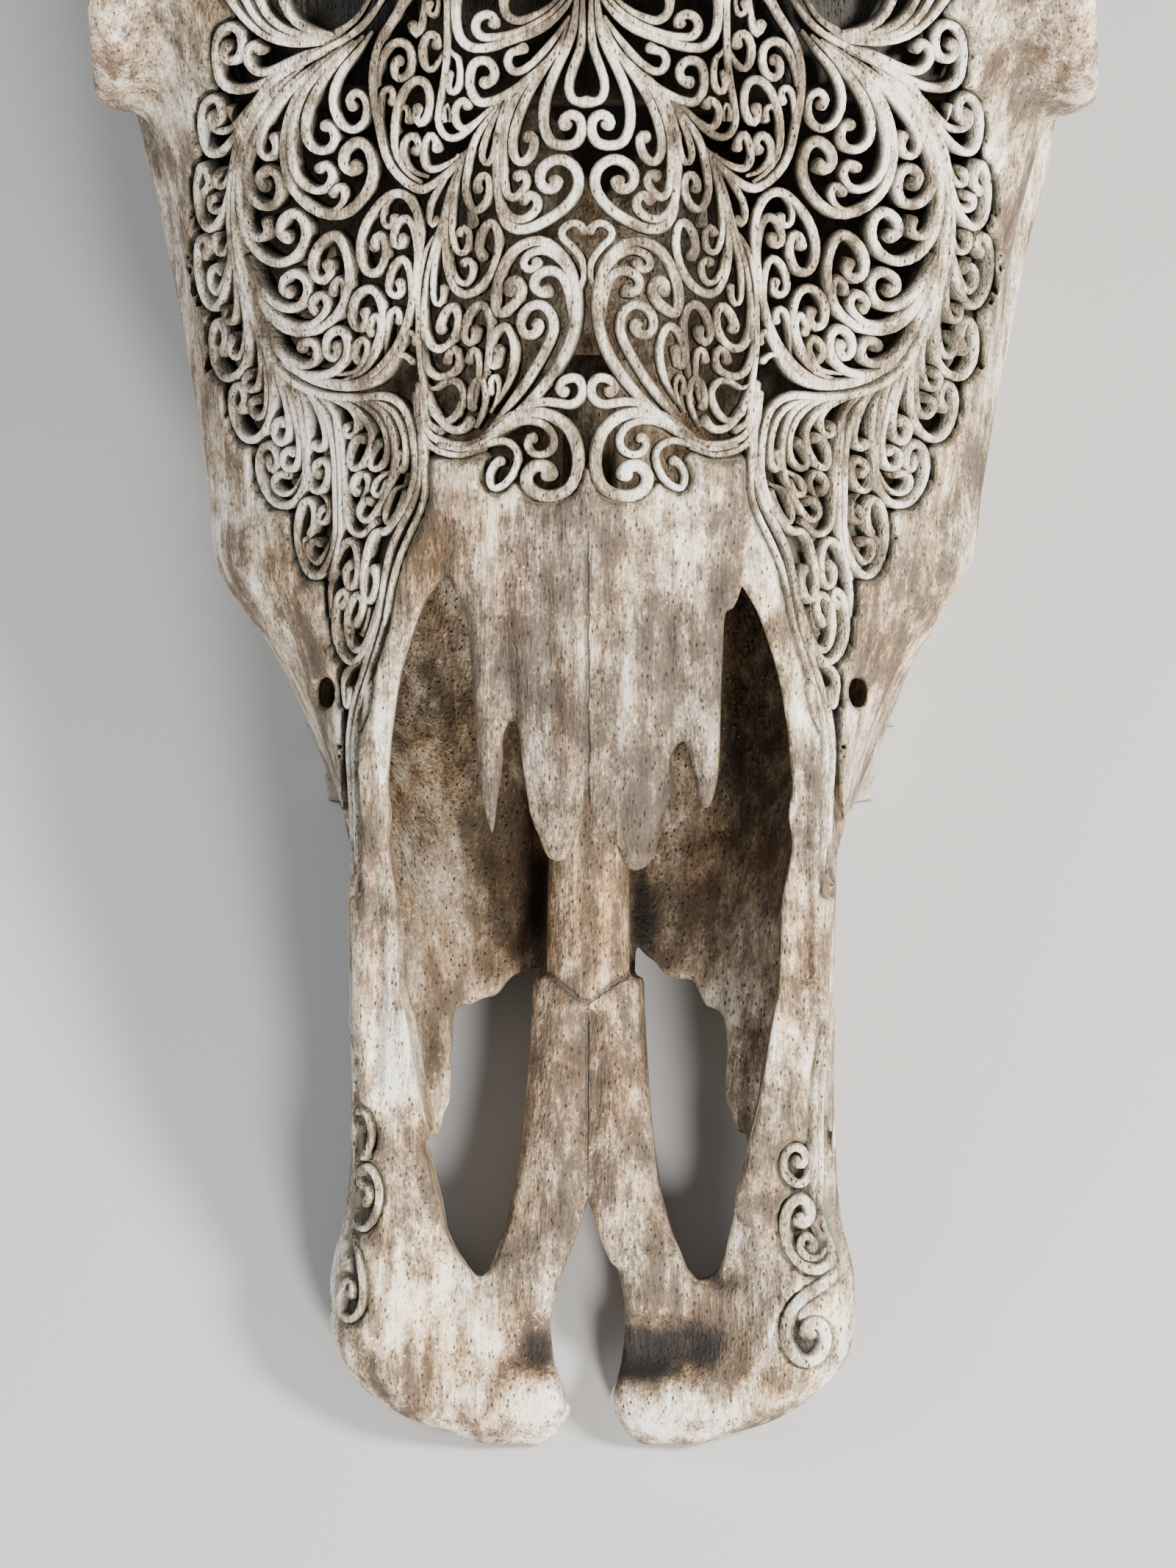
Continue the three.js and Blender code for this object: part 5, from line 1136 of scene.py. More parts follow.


# Stained places, and painted shadows in the hollows behind the lips, at the right fissure's bottom and along
# the bars' outer sides: x and v of the middle, reach across and along, and strength. A strength over 1 makes
# an even patch with a clear edge.
DARK_STAINS_AND_SHADOWS = [[9, 19.3, 11, 6.2, 1.5], [19.5, 21, 9.5, 5.2, 1.15], [-34, 18, 13, 14, 0.3],
               [27, 34.5, 5, 3, 0.7], [-11.5, 20.3, 6, 6.6, 1.0], [-8, 18, 2.5, 5, 0.6],
               [-17, 37, 3, 8, 0.45], [-37, 38, 3, 5, 0.5], [-43, 43, 2.5, 3, 0.5], [-47, 18, 3, 4, 0.6],
               [-38, 14, 2, 10, 0.35], [-31, 8, 4, 2, 0.4], [4.5, 55, 1.5, 8, 0.5], [12, 31, 7, 3, 0.4],
               [32, 62, 2, 14, 0.5], [-6, 44, 4, 8, 0.3], [0, 70, 13, 26, 0.35], [-10, 42, 8, 12, 0.2],
               [10, 42, 8, 12, 0.25], [12, 178, 9, 12, 0.3], [-45, 60, 3, 12, 0.3], [-1.5, 112, 2, 4, 0.5],
               [-6, 97, 3, 1.5, 0.6], [5, 96, 3, 2, 0.6], [46, 104, 4, 12, 0.4], [-46, 96, 3, 14, 0.3],
               [-12, 172, 6, 16, 0.4], [16, 180, 6, 12, 0.35], [60, 160, 5, 9, 0.3]]
# Painted shadows on the floor of the nose, beside its middle bone and under the bars' inner edges
FLOOR_SHADOWS = [[9.5, 112, 2.5, 16, 1.0], [-12, 114, 2.5, 14, 1.0], [13, 112, 3, 14, 0.85],
                [-13, 114, 3, 14, 0.85], [-20, 122, 9, 13, 0.6], [22, 106, 5, 8, 0.5], [-18, 104, 5, 6, 0.5],
                [30, 150, 6, 16, 0.5], [-34, 84, 4, 12, 0.7], [32, 84, 4, 12, 0.4], [-39, 112, 2, 16, 0.5]]
WARM_STAINS = [[0, 114, 9, 22, 1.0], [23, 27, 9, 6, 0.5], [-30, 16, 14, 14, 0.55], [-31, 187, 6, 9, 1.0],
               [-36, 60, 8, 16, 0.35], [12, 15.5, 10, 1.6, 0.5], [-32, 22, 7, 7, 0.6],
               [-14, 15, 12, 1.5, 0.5], [34, 15, 10, 6, 0.5], [-5, 75, 6, 18, 0.5], [-26, 186, 5, 10, 0.5],
               [6, 72, 6, 16, 0.4], [-22, 12, 12, 8, 0.4], [44, 90, 6, 20, 0.4], [0, 402, 60, 60, 0.4],
               [56, 172, 10, 18, 0.45], [-56, 172, 10, 18, 0.45]]
# Light stains and painted highlights: glare on the lips, the right nasal bone's outer corner, the fissure's
# edge and the bars' inner edges
LIGHT_STAINS_AND_HIGHLIGHTS = [[-1, 112, 8, 18, 0.45], [14, 7.5, 11, 5.5, 1.0], [-15, 9, 10, 4, 0.9],
                [-21, 21, 3, 3.5, 0.9], [-25, 35, 3.5, 2, 0.9], [-14, 1.5, 9, 1.5, 0.8],
                [36, 24, 3, 8, 0.7], [-41, 32, 1.2, 3.5, 0.8], [-36.5, 55, 1.5, 8, 0.6],
                [-42, 85, 4, 40, 0.5], [-43, 112, 2, 16, 0.5], [6, 160, 3, 10, 0.5], [22, 186, 2, 10, 0.6],
                [8, 160, 2, 15, 0.8], [35, 185, 4, 6, 1.0], [-35, 140, 5, 14, 0.5], [41, 30, 8, 14, 0.4],
                [-42, 30, 9, 14, 0.5], [38.5, 96, 2, 22, 0.6], [-38, 88, 3, 24, 0.7], [50, 148, 2, 8, 0.7],
                [56, 155, 3, 3, 0.8], [-1, 150, 2, 12, 0.5], [-11, 74, 1.5, 14, 0.6], [0, 93, 7, 3, 0.7],
                [-4, 131, 2, 1.5, 0.9], [62, 220, 12, 24, 0.3], [-62, 220, 12, 24, 0.3]]
FLOOR_LEVELS = (-42, -34)  # the floor's painted shadows fade out over w
COOL_PLATES = [(-26, -16), (140, 196), (27, 34)]  # the nasal bones: over w, fading over v, and half width

# Where the recesses' grime and painted shade, and the painted shade inside, start and stop on the bone: over
# the depth under the outer surface, the distance to the carved region, v, w, or the distance from the middle
RECESS_DEPTH = (0.3, 1.8)
RECESS_END = (GROOVE_MARGIN, GROOVE_MARGIN + 0.8)
RECESS_FLOOR = (9, 13)
STEM_V = [(104, 112), (122, 132)]
STEM_X = 45
LINE_PLACE = 1.2
LINE_WIDTH = (0.2, 0.8)
LINE_FLOOR = (4, 6)
LINE_SHARE = 0.4
UPPER_FACE = (-60, -40)
MIDDLE_BONE_X = (11, 15)
MIDDLE_BONE_V = (126, 138)
INSIDE_DEPTH = (3.2, 6.5)
DEEP_SHADE_V = (196, 262)
DEEP_SHADE_X = (12, 32)
SPARED_DARKENING = 0.9  # how far the stems' ends and the middle bone are spared the painted shade and grime


def stains_and_painted_light(points):
    """How dark, how warm and how light the bone is at face points: stains, painted shadows and painted
    highlights.
    """
    made = np.zeros((len(points), 3))
    low = 1 - ease(points[:, 2], *FLOOR_LEVELS)
    for channel, spots, share in ((0, DARK_STAINS_AND_SHADOWS, 1), (0, FLOOR_SHADOWS, low), (1, WARM_STAINS, 1),
                                  (2, LIGHT_STAINS_AND_HIGHLIGHTS, 1)):
        for x, v, wide, long, strength in spots:
            away = ((points[:, 0] - x) / wide) ** 2 + ((points[:, 1] - v) / long) ** 2
            made[:, channel] = np.maximum(made[:, channel], share * strength * np.exp(-away))
    return made


def colour_bone(made, outer, surface, mask):
    """The skull's own attributes: grime and painted shade in the carving's recesses, painted shade inside the
    head, and the stains with painted shadows and highlights.
    """
    points = vertex_places(made)
    depth = -outer.sample(points)
    flat = mask_at(mask, points[:, 0], points[:, 1])
    # Grime and painted shade in the carving's recesses, and a dark line round its edge
    recess = ease(depth, *RECESS_DEPTH) * (1 - ease(flat, *RECESS_END))
    under = surface.level(points[:, 0], points[:, 1]) - points[:, 2]
    recess *= 1 - ease(np.maximum(depth, under), *RECESS_FLOOR)
    across = np.abs(points[:, 0])
    stem_end = ease(points[:, 1], *STEM_V[0]) * (1 - ease(points[:, 1], *STEM_V[1])) * (across > STEM_X)
    recess *= 1 - SPARED_DARKENING * stem_end
    line = LINE_SHARE * (1 - ease(np.abs(flat - LINE_PLACE), *LINE_WIDTH)) * (1 - ease(depth, *LINE_FLOOR))
    line *= 1 - stem_end
    upper = ease(points[:, 2], *UPPER_FACE)
    middle = (1 - ease(across, *MIDDLE_BONE_X)) * (1 - ease(points[:, 1], *MIDDLE_BONE_V))
    # Painted shade inside the head, deeper under the outer surface
    inside = ease(depth, *INSIDE_DEPTH) * (1 - SPARED_DARKENING * middle)
    # Painted shade, nearly black, on the insides behind the pierced carving
    deep_shade = inside * ease(points[:, 1], *DEEP_SHADE_V) * (0.2 + 0.8 * ease(across, *DEEP_SHADE_X))
    add_colours(made, "dirt_and_shade", np.stack([np.maximum(recess, line * upper), inside, deep_shade], -1))
    add_colours(made, "stains_and_light", stains_and_painted_light(points))


class Nodes:
    """Short ways to add nodes to one material."""

    def __init__(self, name, roughness, specular=0.5):
        self.material = bpy.data.materials.new(name)
        self.material.use_nodes = True
        self.tree = self.material.node_tree
        self.shader = self.tree.nodes["Principled BSDF"]
        self.shader.inputs["Roughness"].default_value = roughness
        self.shader.inputs["Specular IOR Level"].default_value = specular

    def add(self, kind, inputs, output=0, **settings):
        node = self.tree.nodes.new(kind)
        for name, value in settings.items():
            setattr(node, name, value)
        for key, value in inputs.items():
            self.put(node.inputs[key], value)
        return node.outputs[output]

    def put(self, socket, value):
        if isinstance(value, bpy.types.NodeSocket):
            self.tree.links.new(value, socket)
        else:
            socket.default_value = value

    def maths(self, operation, a, b=0.0, c=0.0):
        return self.add("ShaderNodeMath", {0: a, 1: b, 2: c}, operation=operation)

    def step(self, value, start, stop, low=0.0, high=1.0):
        """A number eased from low at start to high at stop."""
        inputs = {"Value": value, "From Min": start, "From Max": stop, "To Min": low, "To Max": high}
        return self.add("ShaderNodeMapRange", inputs, interpolation_type="SMOOTHSTEP")

    def stretch(self, vector, density):
        return self.add("ShaderNodeVectorMath", {0: vector, 1: density}, operation="MULTIPLY")

    def noise(self, vector, density, detail, rough=0.55):
        """Smooth noise with this many lumps to the millimetre over x, v and w."""
        return self.add("ShaderNodeTexNoise", {"Vector": self.stretch(vector, density), "Scale": 1.0,
                                               "Detail": detail, "Roughness": rough})

    def cells(self, vector, density):
        """Distance to the nearest of scattered points, the same way."""
        return self.add("ShaderNodeTexVoronoi", {"Vector": self.stretch(vector, density), "Scale": 1.0})

    def ramp(self, value, stops):
        """A colour for a number, through rows of a number and a colour."""
        node = self.tree.nodes.new("ShaderNodeValToRGB")
        points = node.color_ramp.elements
        for place, _ in stops[2:]:
            points.new(place)
        for point, (place, colour) in zip(points, stops):
            point.position = place
            point.color = (*colour, 1)
        self.put(node.inputs[0], value)
        return node.outputs[0]

    def product(self, *parts):
        made = parts[0]
        for part in parts[1:]:
            made = self.maths("MULTIPLY", made, part)
        return made

    def most(self, *parts):
        """The greatest of several outputs."""
        made = parts[0]
        for part in parts[1:]:
            made = self.maths("MAXIMUM", made, part)
        return made

    def total(self, parts):
        """The sum of a number and of shares of outputs."""
        made = parts[0]
        for share, value in parts[1:]:
            made = self.add("ShaderNodeMath", {0: value, 1: share, 2: made}, operation="MULTIPLY_ADD")
        return made

    def mix(self, factor, a, b):
        colours = {6: (*a, 1) if isinstance(a, tuple) else a, 7: (*b, 1) if isinstance(b, tuple) else b}
        return self.add("ShaderNodeMix", {0: factor, **colours}, output=2, data_type="RGBA")

    def tint(self, factor, colour, by):
        """A colour multiplied by another one, by a share."""
        return self.add("ShaderNodeMix", {0: factor, 6: colour, 7: (*by, 1)}, output=2, data_type="RGBA",
                        blend_type="MULTIPLY")

    def shadow(self, reach):
        """How open the surface is within this many millimetres."""
        return self.add("ShaderNodeAmbientOcclusion", {"Distance": reach * MM}, output=1, samples=8)

    def attribute(self, name):
        """The three numbers of a vertex attribute."""
        colour = self.add("ShaderNodeAttribute", {}, attribute_name=name)
        parts = self.tree.nodes.new("ShaderNodeSeparateColor")
        self.tree.links.new(colour, parts.inputs[0])
        return parts.outputs

    def parts(self, vector):
        split = self.tree.nodes.new("ShaderNodeSeparateXYZ")
        self.tree.links.new(vector, split.inputs[0])
        return split.outputs

    def face_place(self):
        """Face millimetres, from the object's own coordinates."""
        place = self.tree.nodes.new("ShaderNodeTexCoord").outputs["Object"]
        inputs = {"Vector": place, "Location": tuple(to_face(np.zeros(3))), "Rotation": (-FACE_TILT, 0, 0),
                  "Scale": (1 / MM, 1 / MM, 1 / MM)}
        return self.add("ShaderNodeMapping", inputs)

    def shade(self, colour, roughness, height, strength):
        """Links colour and roughness, and a height as fine relief."""
        self.put(self.shader.inputs["Base Color"], colour)
        self.put(self.shader.inputs["Roughness"], roughness)
        relief = self.add("ShaderNodeBump", {"Height": height, "Strength": strength, "Distance": MM})
        self.put(self.shader.inputs["Normal"], relief)
        return self.material


# The bone's noises: lumps to the millimetre over x, v and w, detail and roughness
BONE_NOISES = [((1.7, 0.22, 1.7), 4, 0.6), ((0.42, 0.04, 0.42), 4, 0.62), ((0.06, 0.028, 0.06), 3, 0.6),
               ((0.24, 0.13, 0.24), 4, 0.65), ((1.5, 1.0, 1.5), 3, 0.65), ((0.10, 0.045, 0.10), 3, 0.6),
               ((0.25, 0.25, 0.25), 3, 0.55)]
PORE_DENSITY = (0.85, 0.42, 0.85)
# How close together the painted glints lie
GLINT_DENSITY = (0.8, 0.6, 0.8)
WANDER = 4.0  # how far cracks and sutures stray, in millimetres
# Where lines and plates start and stop over v, and how far from the middle
SUTURE_V = [(134, 140), (188, 194)]
CRACK_V = [(56, 78), (89, 91)]
JOINT_V = 92.5
JOINT_SLOPE = 0.8
JOINT_X = (8.5, 10)
LINES_V = (200, 210)
PLATES_V = (196, 206)
BACK_V = (456, 478)  # past it the bone's tone is more even
# Bone from its darkest pores to its worn, polished tops, and what lies on it, with the painted shade of its
# recesses and its inside
BONE_TONES = [(0.02, (0.030, 0.021, 0.014)), (0.27, (0.13, 0.094, 0.062)), (0.48, (0.34, 0.265, 0.185)),
              (0.66, (0.63, 0.545, 0.435)), (0.88, (0.95, 0.91, 0.83))]
TAN_TINT = (0.97, 0.87, 0.74)
WARM_TINT = (0.95, 0.77, 0.51)
COOL_TINT = (0.70, 0.70, 0.72)
SHADE_TINT = (0.15, 0.13, 0.105)
INSIDE_SHADE_TINT = (0.76, 0.73, 0.69)
OLIVE_GRIME_AND_SHADE = (0.18, 0.165, 0.11)
DARK_GRIME_AND_SHADE = (0.038, 0.034, 0.025)
DEEP_INSIDE_SHADE = (0.03, 0.026, 0.02)


def bone_material():
    """Old polished bone: grain along the face, pores, painted glints, grime and painted shade in the
    recesses, painted shade inside, and cracks along the sutures.
    """
    n = Nodes("bone", 0.4)
    place = n.face_place()
    x, v, w = n.parts(place)
    # recess is grime and painted shade; inside and behind are painted shade
    recess, inside, deep_shade = n.attribute("dirt_and_shade")[:3]
    dark, warm, light = n.attribute("stains_and_light")[:3]
    fine, streaks, broad, blots, specks, patches, drift = [n.noise(place, *row) for row in BONE_NOISES]
    pores = n.cells(place, PORE_DENSITY)
    glint_cells = n.cells(place, GLINT_DENSITY)
    wander = n.product(n.maths("SUBTRACT", drift, 0.5), WANDER)

    across = n.maths("ABSOLUTE", x)
    cool = n.product(n.step(w, *COOL_PLATES[0]), n.step(v, *COOL_PLATES[1], 1, 0.2),
                     n.step(across, *COOL_PLATES[2], 1, 0), n.step(v, *PLATES_V, 1, 0))
    # dark and light carry painted shadows and painted highlights into the tone, as well as stains
    tone = n.total([-2.2, (0.65, fine), (0.8, specks), (0.85, streaks), (1.3, blots), (1.7, broad),
                    (0.34, light), (-0.62, dark), (-0.1, warm), (-0.15, cool)])
    even = n.product(n.step(inside, 0, 1, 1, 0.7), n.step(v, *BACK_V, 1, 0.4))
    hole = n.step(pores, 0.08, 0.24, 0.35, 0)
    # Painted glints: small light flecks in the colour
    painted_glint = n.step(glint_cells, 0.10, 0.2, 0.5, 0)
    tone = n.total([n.maths("MULTIPLY_ADD", n.maths("SUBTRACT", tone, 0.5), even, 0.5),
                    (-0.9, hole), (-0.7, n.product(hole, light)),
                    (0.9, n.product(painted_glint, n.step(broad, 0.42, 0.6)))])
    tone = n.most(tone, n.maths("MULTIPLY_ADD", tone, 0.55, 0.13))
    colour = n.ramp(tone, BONE_TONES)
    tan = n.product(n.step(patches, 0.44, 0.6), n.step(light, 0.2, 0.9, 1, 0.2))
    colour = n.tint(tan, colour, TAN_TINT)
    colour = n.tint(warm, colour, WARM_TINT)
    colour = n.tint(cool, colour, COOL_TINT)
    colour = n.tint(n.step(dark, 0.38, 0.92), colour, SHADE_TINT)

    off_middle = n.maths("SUBTRACT", x, MIDDLE_X)
    middle = n.maths("ABSOLUTE", n.total([x, (0.35, wander)]))
    suture = n.product(n.step(middle, 0.25, 0.7, 1, 0), n.step(v, *SUTURE_V[0]),
                       n.step(v, *SUTURE_V[1], 0.8, 0))
    crack = n.maths("ABSOLUTE", n.total([off_middle, (0.12, wander)]))
    crack = n.product(n.step(crack, 0.2, 0.5, 1, 0), n.step(v, *CRACK_V[0], 0.3, 1),
                      n.step(v, *CRACK_V[1], 1, 0))
    beside = n.maths("ABSOLUTE", off_middle)
    joint = n.maths("ABSOLUTE", n.total([v, (-JOINT_SLOPE, beside), (1.0, wander), (-JOINT_V, 1.0)]))
    joint = n.product(n.step(joint, 0.3, 1.0, 0.9, 0), n.step(beside, *JOINT_X, 1, 0))
    open_face = n.maths("SUBTRACT", 1.0, n.most(inside, n.step(v, *LINES_V)))
    lines = n.product(n.most(suture, crack, joint), open_face)
    colour = n.mix(n.product(lines, 0.85), colour, DARK_GRIME_AND_SHADE)

    # Painted shade inside the head
    colour = n.tint(inside, colour, INSIDE_SHADE_TINT)
    # Painted shade: olive, then near black, where the occlusion finds the surface closed in, and grime with
    # painted shade in the carving's recesses
    shadow = n.shadow(3)
    hollow = n.most(recess, n.step(shadow, 0.15, 0.7, 0.6, 0))
    colour = n.mix(n.product(n.step(hollow, 0.15, 0.55), n.step(tone, 0.3, 0.8, 0.95, 0.6)), colour, OLIVE_GRIME_AND_SHADE)
    colour = n.mix(n.step(hollow, 0.55, 1.0, 0, 0.92), colour, DARK_GRIME_AND_SHADE)
    # Painted shade, nearly black, behind the pierced carving
    colour = n.mix(n.product(deep_shade, 0.9), colour, DEEP_INSIDE_SHADE)

    roughness = n.step(tone, 0.15, 0.75, 0.6, 0.22)
    roughness = n.total([roughness, (0.25, n.most(hollow, inside)), (0.2, dark), (-0.06, light)])
    height = n.total([0.0, (0.5, fine), (0.7, streaks), (0.35, specks), (-1.2, hole), (-0.8, lines),
                      (0.9, n.product(specks, light))])
    return n.shade(colour, roughness, height, 0.9)


# Horn, from its dark body to pale and worn places and the painted shade of its grooves, and enamel with what
# lies on it and the painted shade at its gum
HORN_DARK = (0.03, 0.022, 0.017)
HORN_PALE = (0.26, 0.18, 0.10)
HORN_TIP = (0.012, 0.010, 0.009)
HORN_STREAK = (0.30, 0.23, 0.15)
HORN_GROOVE_SHADE = (0.02, 0.015, 0.011)
HORN_SCRATCH = (0.30, 0.25, 0.19)
ENAMEL_DARK = (0.52, 0.44, 0.31)
ENAMEL_PALE = (0.68, 0.62, 0.50)
ENAMEL_LINE = (0.20, 0.13, 0.07)
FOLD_STAIN = (0.07, 0.045, 0.025)
WORN_FACE = (0.22, 0.14, 0.07)
GUM_SHADE = (0.05, 0.035, 0.02)


def horn_material():
    """Horn sheath: dark and satin, paler and ringed toward the skull, with painted shade in the rings'
    grooves.
    """
    n = Nodes("horn", 0.35)
    place = n.face_place()
    along, streak, ring = n.attribute("grain")[:3]
    cloud = n.noise(place, (0.03, 0.03, 0.03), 4)
    scratch = n.noise(place, (0.9, 0.9, 0.9), 4, 0.7)
    pale = n.product(n.step(along, 0.04, 0.45, 1, 0), n.step(cloud, 0.3, 0.6, 0.5, 1))
    colour = n.mix(pale, HORN_DARK, HORN_PALE)
    colour = n.mix(n.step(along, 0.6, 0.95, 0, 0.8), colour, HORN_TIP)
    colour = n.mix(n.step(streak, 0.45, 0.8, 0, 0.2), colour, HORN_STREAK)
    # Painted shade in the growth rings' grooves
    colour = n.mix(n.product(ring, 0.7), colour, HORN_GROOVE_SHADE)
    colour = n.mix(n.step(scratch, 0.62, 0.75, 0, 0.25), colour, HORN_SCRATCH)
    roughness = n.step(scratch, 0.3, 0.7, 0.28, 0.5)
    height = n.total([0.0, (0.5, scratch), (0.6, streak)])
    return n.shade(colour, roughness, height, 0.4)


def tooth_material():
    """Enamel with brown stain in the folds and painted shade at the gum."""
    n = Nodes("tooth", 0.3)
    place = n.face_place()
    fold, worn, _ = n.attribute("grain")[:3]
    cloud = n.noise(place, (0.25, 0.25, 0.12), 4, 0.6)
    lines = n.noise(place, (1.6, 1.6, 0.25), 3, 0.6)
    colour = n.mix(n.step(cloud, 0.35, 0.65), ENAMEL_DARK, ENAMEL_PALE)
    colour = n.mix(n.step(lines, 0.5, 0.72, 0, 0.6), colour, ENAMEL_LINE)
    colour = n.mix(n.product(fold, n.step(cloud, 0.25, 0.6, 1, 0.6)), colour, FOLD_STAIN)
    colour = n.mix(worn, colour, WORN_FACE)
    colour = n.mix(n.step(n.shadow(4), 0.2, 0.8, 0.7, 0), colour, GUM_SHADE)
    height = n.total([0.0, (0.5, lines), (0.4, cloud)])
    return n.shade(colour, n.step(lines, 0.4, 0.7, 0.25, 0.5), height, 0.4)


# Horn sheaths: the outside with growth rings toward the skull, and the inside round the bony core
HORN_SIDES = 56
HORN_STEPS = 22
GROWTH_RINGS = 9
RING_REACH = 0.42  # share of the length that carries growth rings
RING_HEIGHT = 0.035
RING_CROWDING = 0.85  # below 1, rings lie closer toward the skull
RING_RISE = (0, 0.75)  # the saw's slow rise and quick drop, over one ring
RING_DROP = (0.8, 1.0)
RING_MIDDLE = 0.4
# Where painted shade lies in each growth ring's groove
RING_GROOVE_SHADE = [(0.0, 0.22), (0.9, 1.0)]
SHEATH_CLEARANCE = 0.5
FLUTES = (7, 11, 17, 23)  # counts round the horn of its lengthwise flutes, ruffles and streaks
FLUTE_HEIGHT = 0.006
FLUTE_FADE = (0.5, 0.9)
RUFFLES = (3, 5, 8)
RUFFLE_SHARE = 0.3
STREAKS = (5, 9, 13, 21)
HORN_SEED = 11
TURN = 6.0  # about one full turn, the range of a random start


def horn(side, material):
    """One horn sheath with its growth rings, flutes and worn tip."""
    draw = np.random.RandomState(HORN_SEED + side)
    outside = rod_rings(HORN_SHEATH, sides=HORN_SIDES, steps=HORN_STEPS)
    centre = outside.mean(axis=1, keepdims=True)
    count = len(outside)
    along = np.arange(count) / (count - 1)
    angle = 2 * np.pi * np.arange(HORN_SIDES) / HORN_SIDES
    phase = GROWTH_RINGS * (along / RING_REACH) ** RING_CROWDING
    saw = phase % 1
    fade = 1 - ease(along, 0.7 * RING_REACH, RING_REACH)
    ring = RING_HEIGHT * fade * (ease(saw, *RING_RISE) - ease(saw, *RING_DROP) - RING_MIDDLE)
    flutes = sum(FLUTE_HEIGHT * np.sin(k * angle + draw.uniform(0, TURN)) for k in FLUTES)
    ruffle = RUFFLE_SHARE * sum(np.sin(k * angle[None] + 3 * phase[:, None] + draw.uniform(0, TURN))
                                for k in RUFFLES)
    swell = ring[:, None] * (1 + ruffle) + flutes[None] * (1 - ease(along, *FLUTE_FADE))[:, None]
    outside = centre + (outside - centre) * (1 + swell)[..., None]
    inside = rod_rings([[x, v, w, r + SHEATH_CLEARANCE] for x, v, w, r in HORN_CORE[1:]], sides=HORN_SIDES)
    rings = np.concatenate([inside[::-1], outside]) * [side, 1, 1]
    points, quads, triangles = loft(rings)
    made = make_mesh("horn_" + SIDE_NAMES[side] + "_sheath", points, quads, triangles, material)
    shown = np.zeros((len(points), 3))
    start = len(inside) * HORN_SIDES
    streak = 0.5 + 0.25 * sum(np.sin(k * angle + draw.uniform(0, TURN)) for k in STREAKS) / 2
    # Painted shade in the growth rings' grooves
    low = fade * (1 - ease(saw, *RING_GROOVE_SHADE[0]) + ease(saw, *RING_GROOVE_SHADE[1]))
    values = np.stack(np.broadcast_arrays(along[:, None], streak[None], low[:, None]), -1)
    shown[start:start + count * HORN_SIDES] = values.reshape(-1, 3)
    shown[-1] = [1, 0.5, 0]
    add_colours(made, "grain", shown)
    return made


def table_level(v, height=0.0):
    """The w at which a point at distance v is this high over the table."""
    return (height - REST_LIFT - v * math.sin(FACE_TILT)) / math.cos(FACE_TILT)


# Upper cheek teeth, from the front: name, v, x, length along the row, width, and lean of the crown's tip
TEETH = [["premolar_1", 146, 53, 14, 13, -4.5], ["premolar_2", 162, 57, 15, 15, -4],
         ["premolar_3", 178.5, 60.5, 15, 17, -2], ["molar_1", 198, 63, 21, 20, 0],
         ["molar_2", 221.5, 65, 23, 21, 0], ["molar_3", 246.5, 65.5, 24, 20, 0]]
CROWN_HEIGHT = 14.0
ROOT_DEPTH = 7.0
TOOTH_INSET = 0.4
TOOTH_AROUND = 72
CROWN_RINGS = 12
WORN_SHARES = [0.95, 0.88, 0.78, 0.68, 0.58, 0.48, 0.38, 0.28, 0.18, 0.08]
TOOTH_SQUARE = 0.72  # from 0 for an oval plan to 1 for a square one
TOOTH_FILL = 0.95
NECK_SHARE = 0.93  # how wide a tooth is at its neck
RIB_HEIGHT = 0.10
WAIST_DEPTH = 0.10
# The worn face, over the distance from a lobe's middle: a crescent pit between two enamel edges
LOBE_PLACE = 0.48
PIT = (0.42, 0.13)
ENAMEL_EDGES = [(0.62, 0.08), (0.2, 0.09)]
PIT_DEPTH = 1.9
PIT_LIMIT = 0.9
EDGE_HEIGHT = 0.45
RIM_LIFT = 0.45
FACE_LIFT = 0.5
WORN_TONE = 0.8


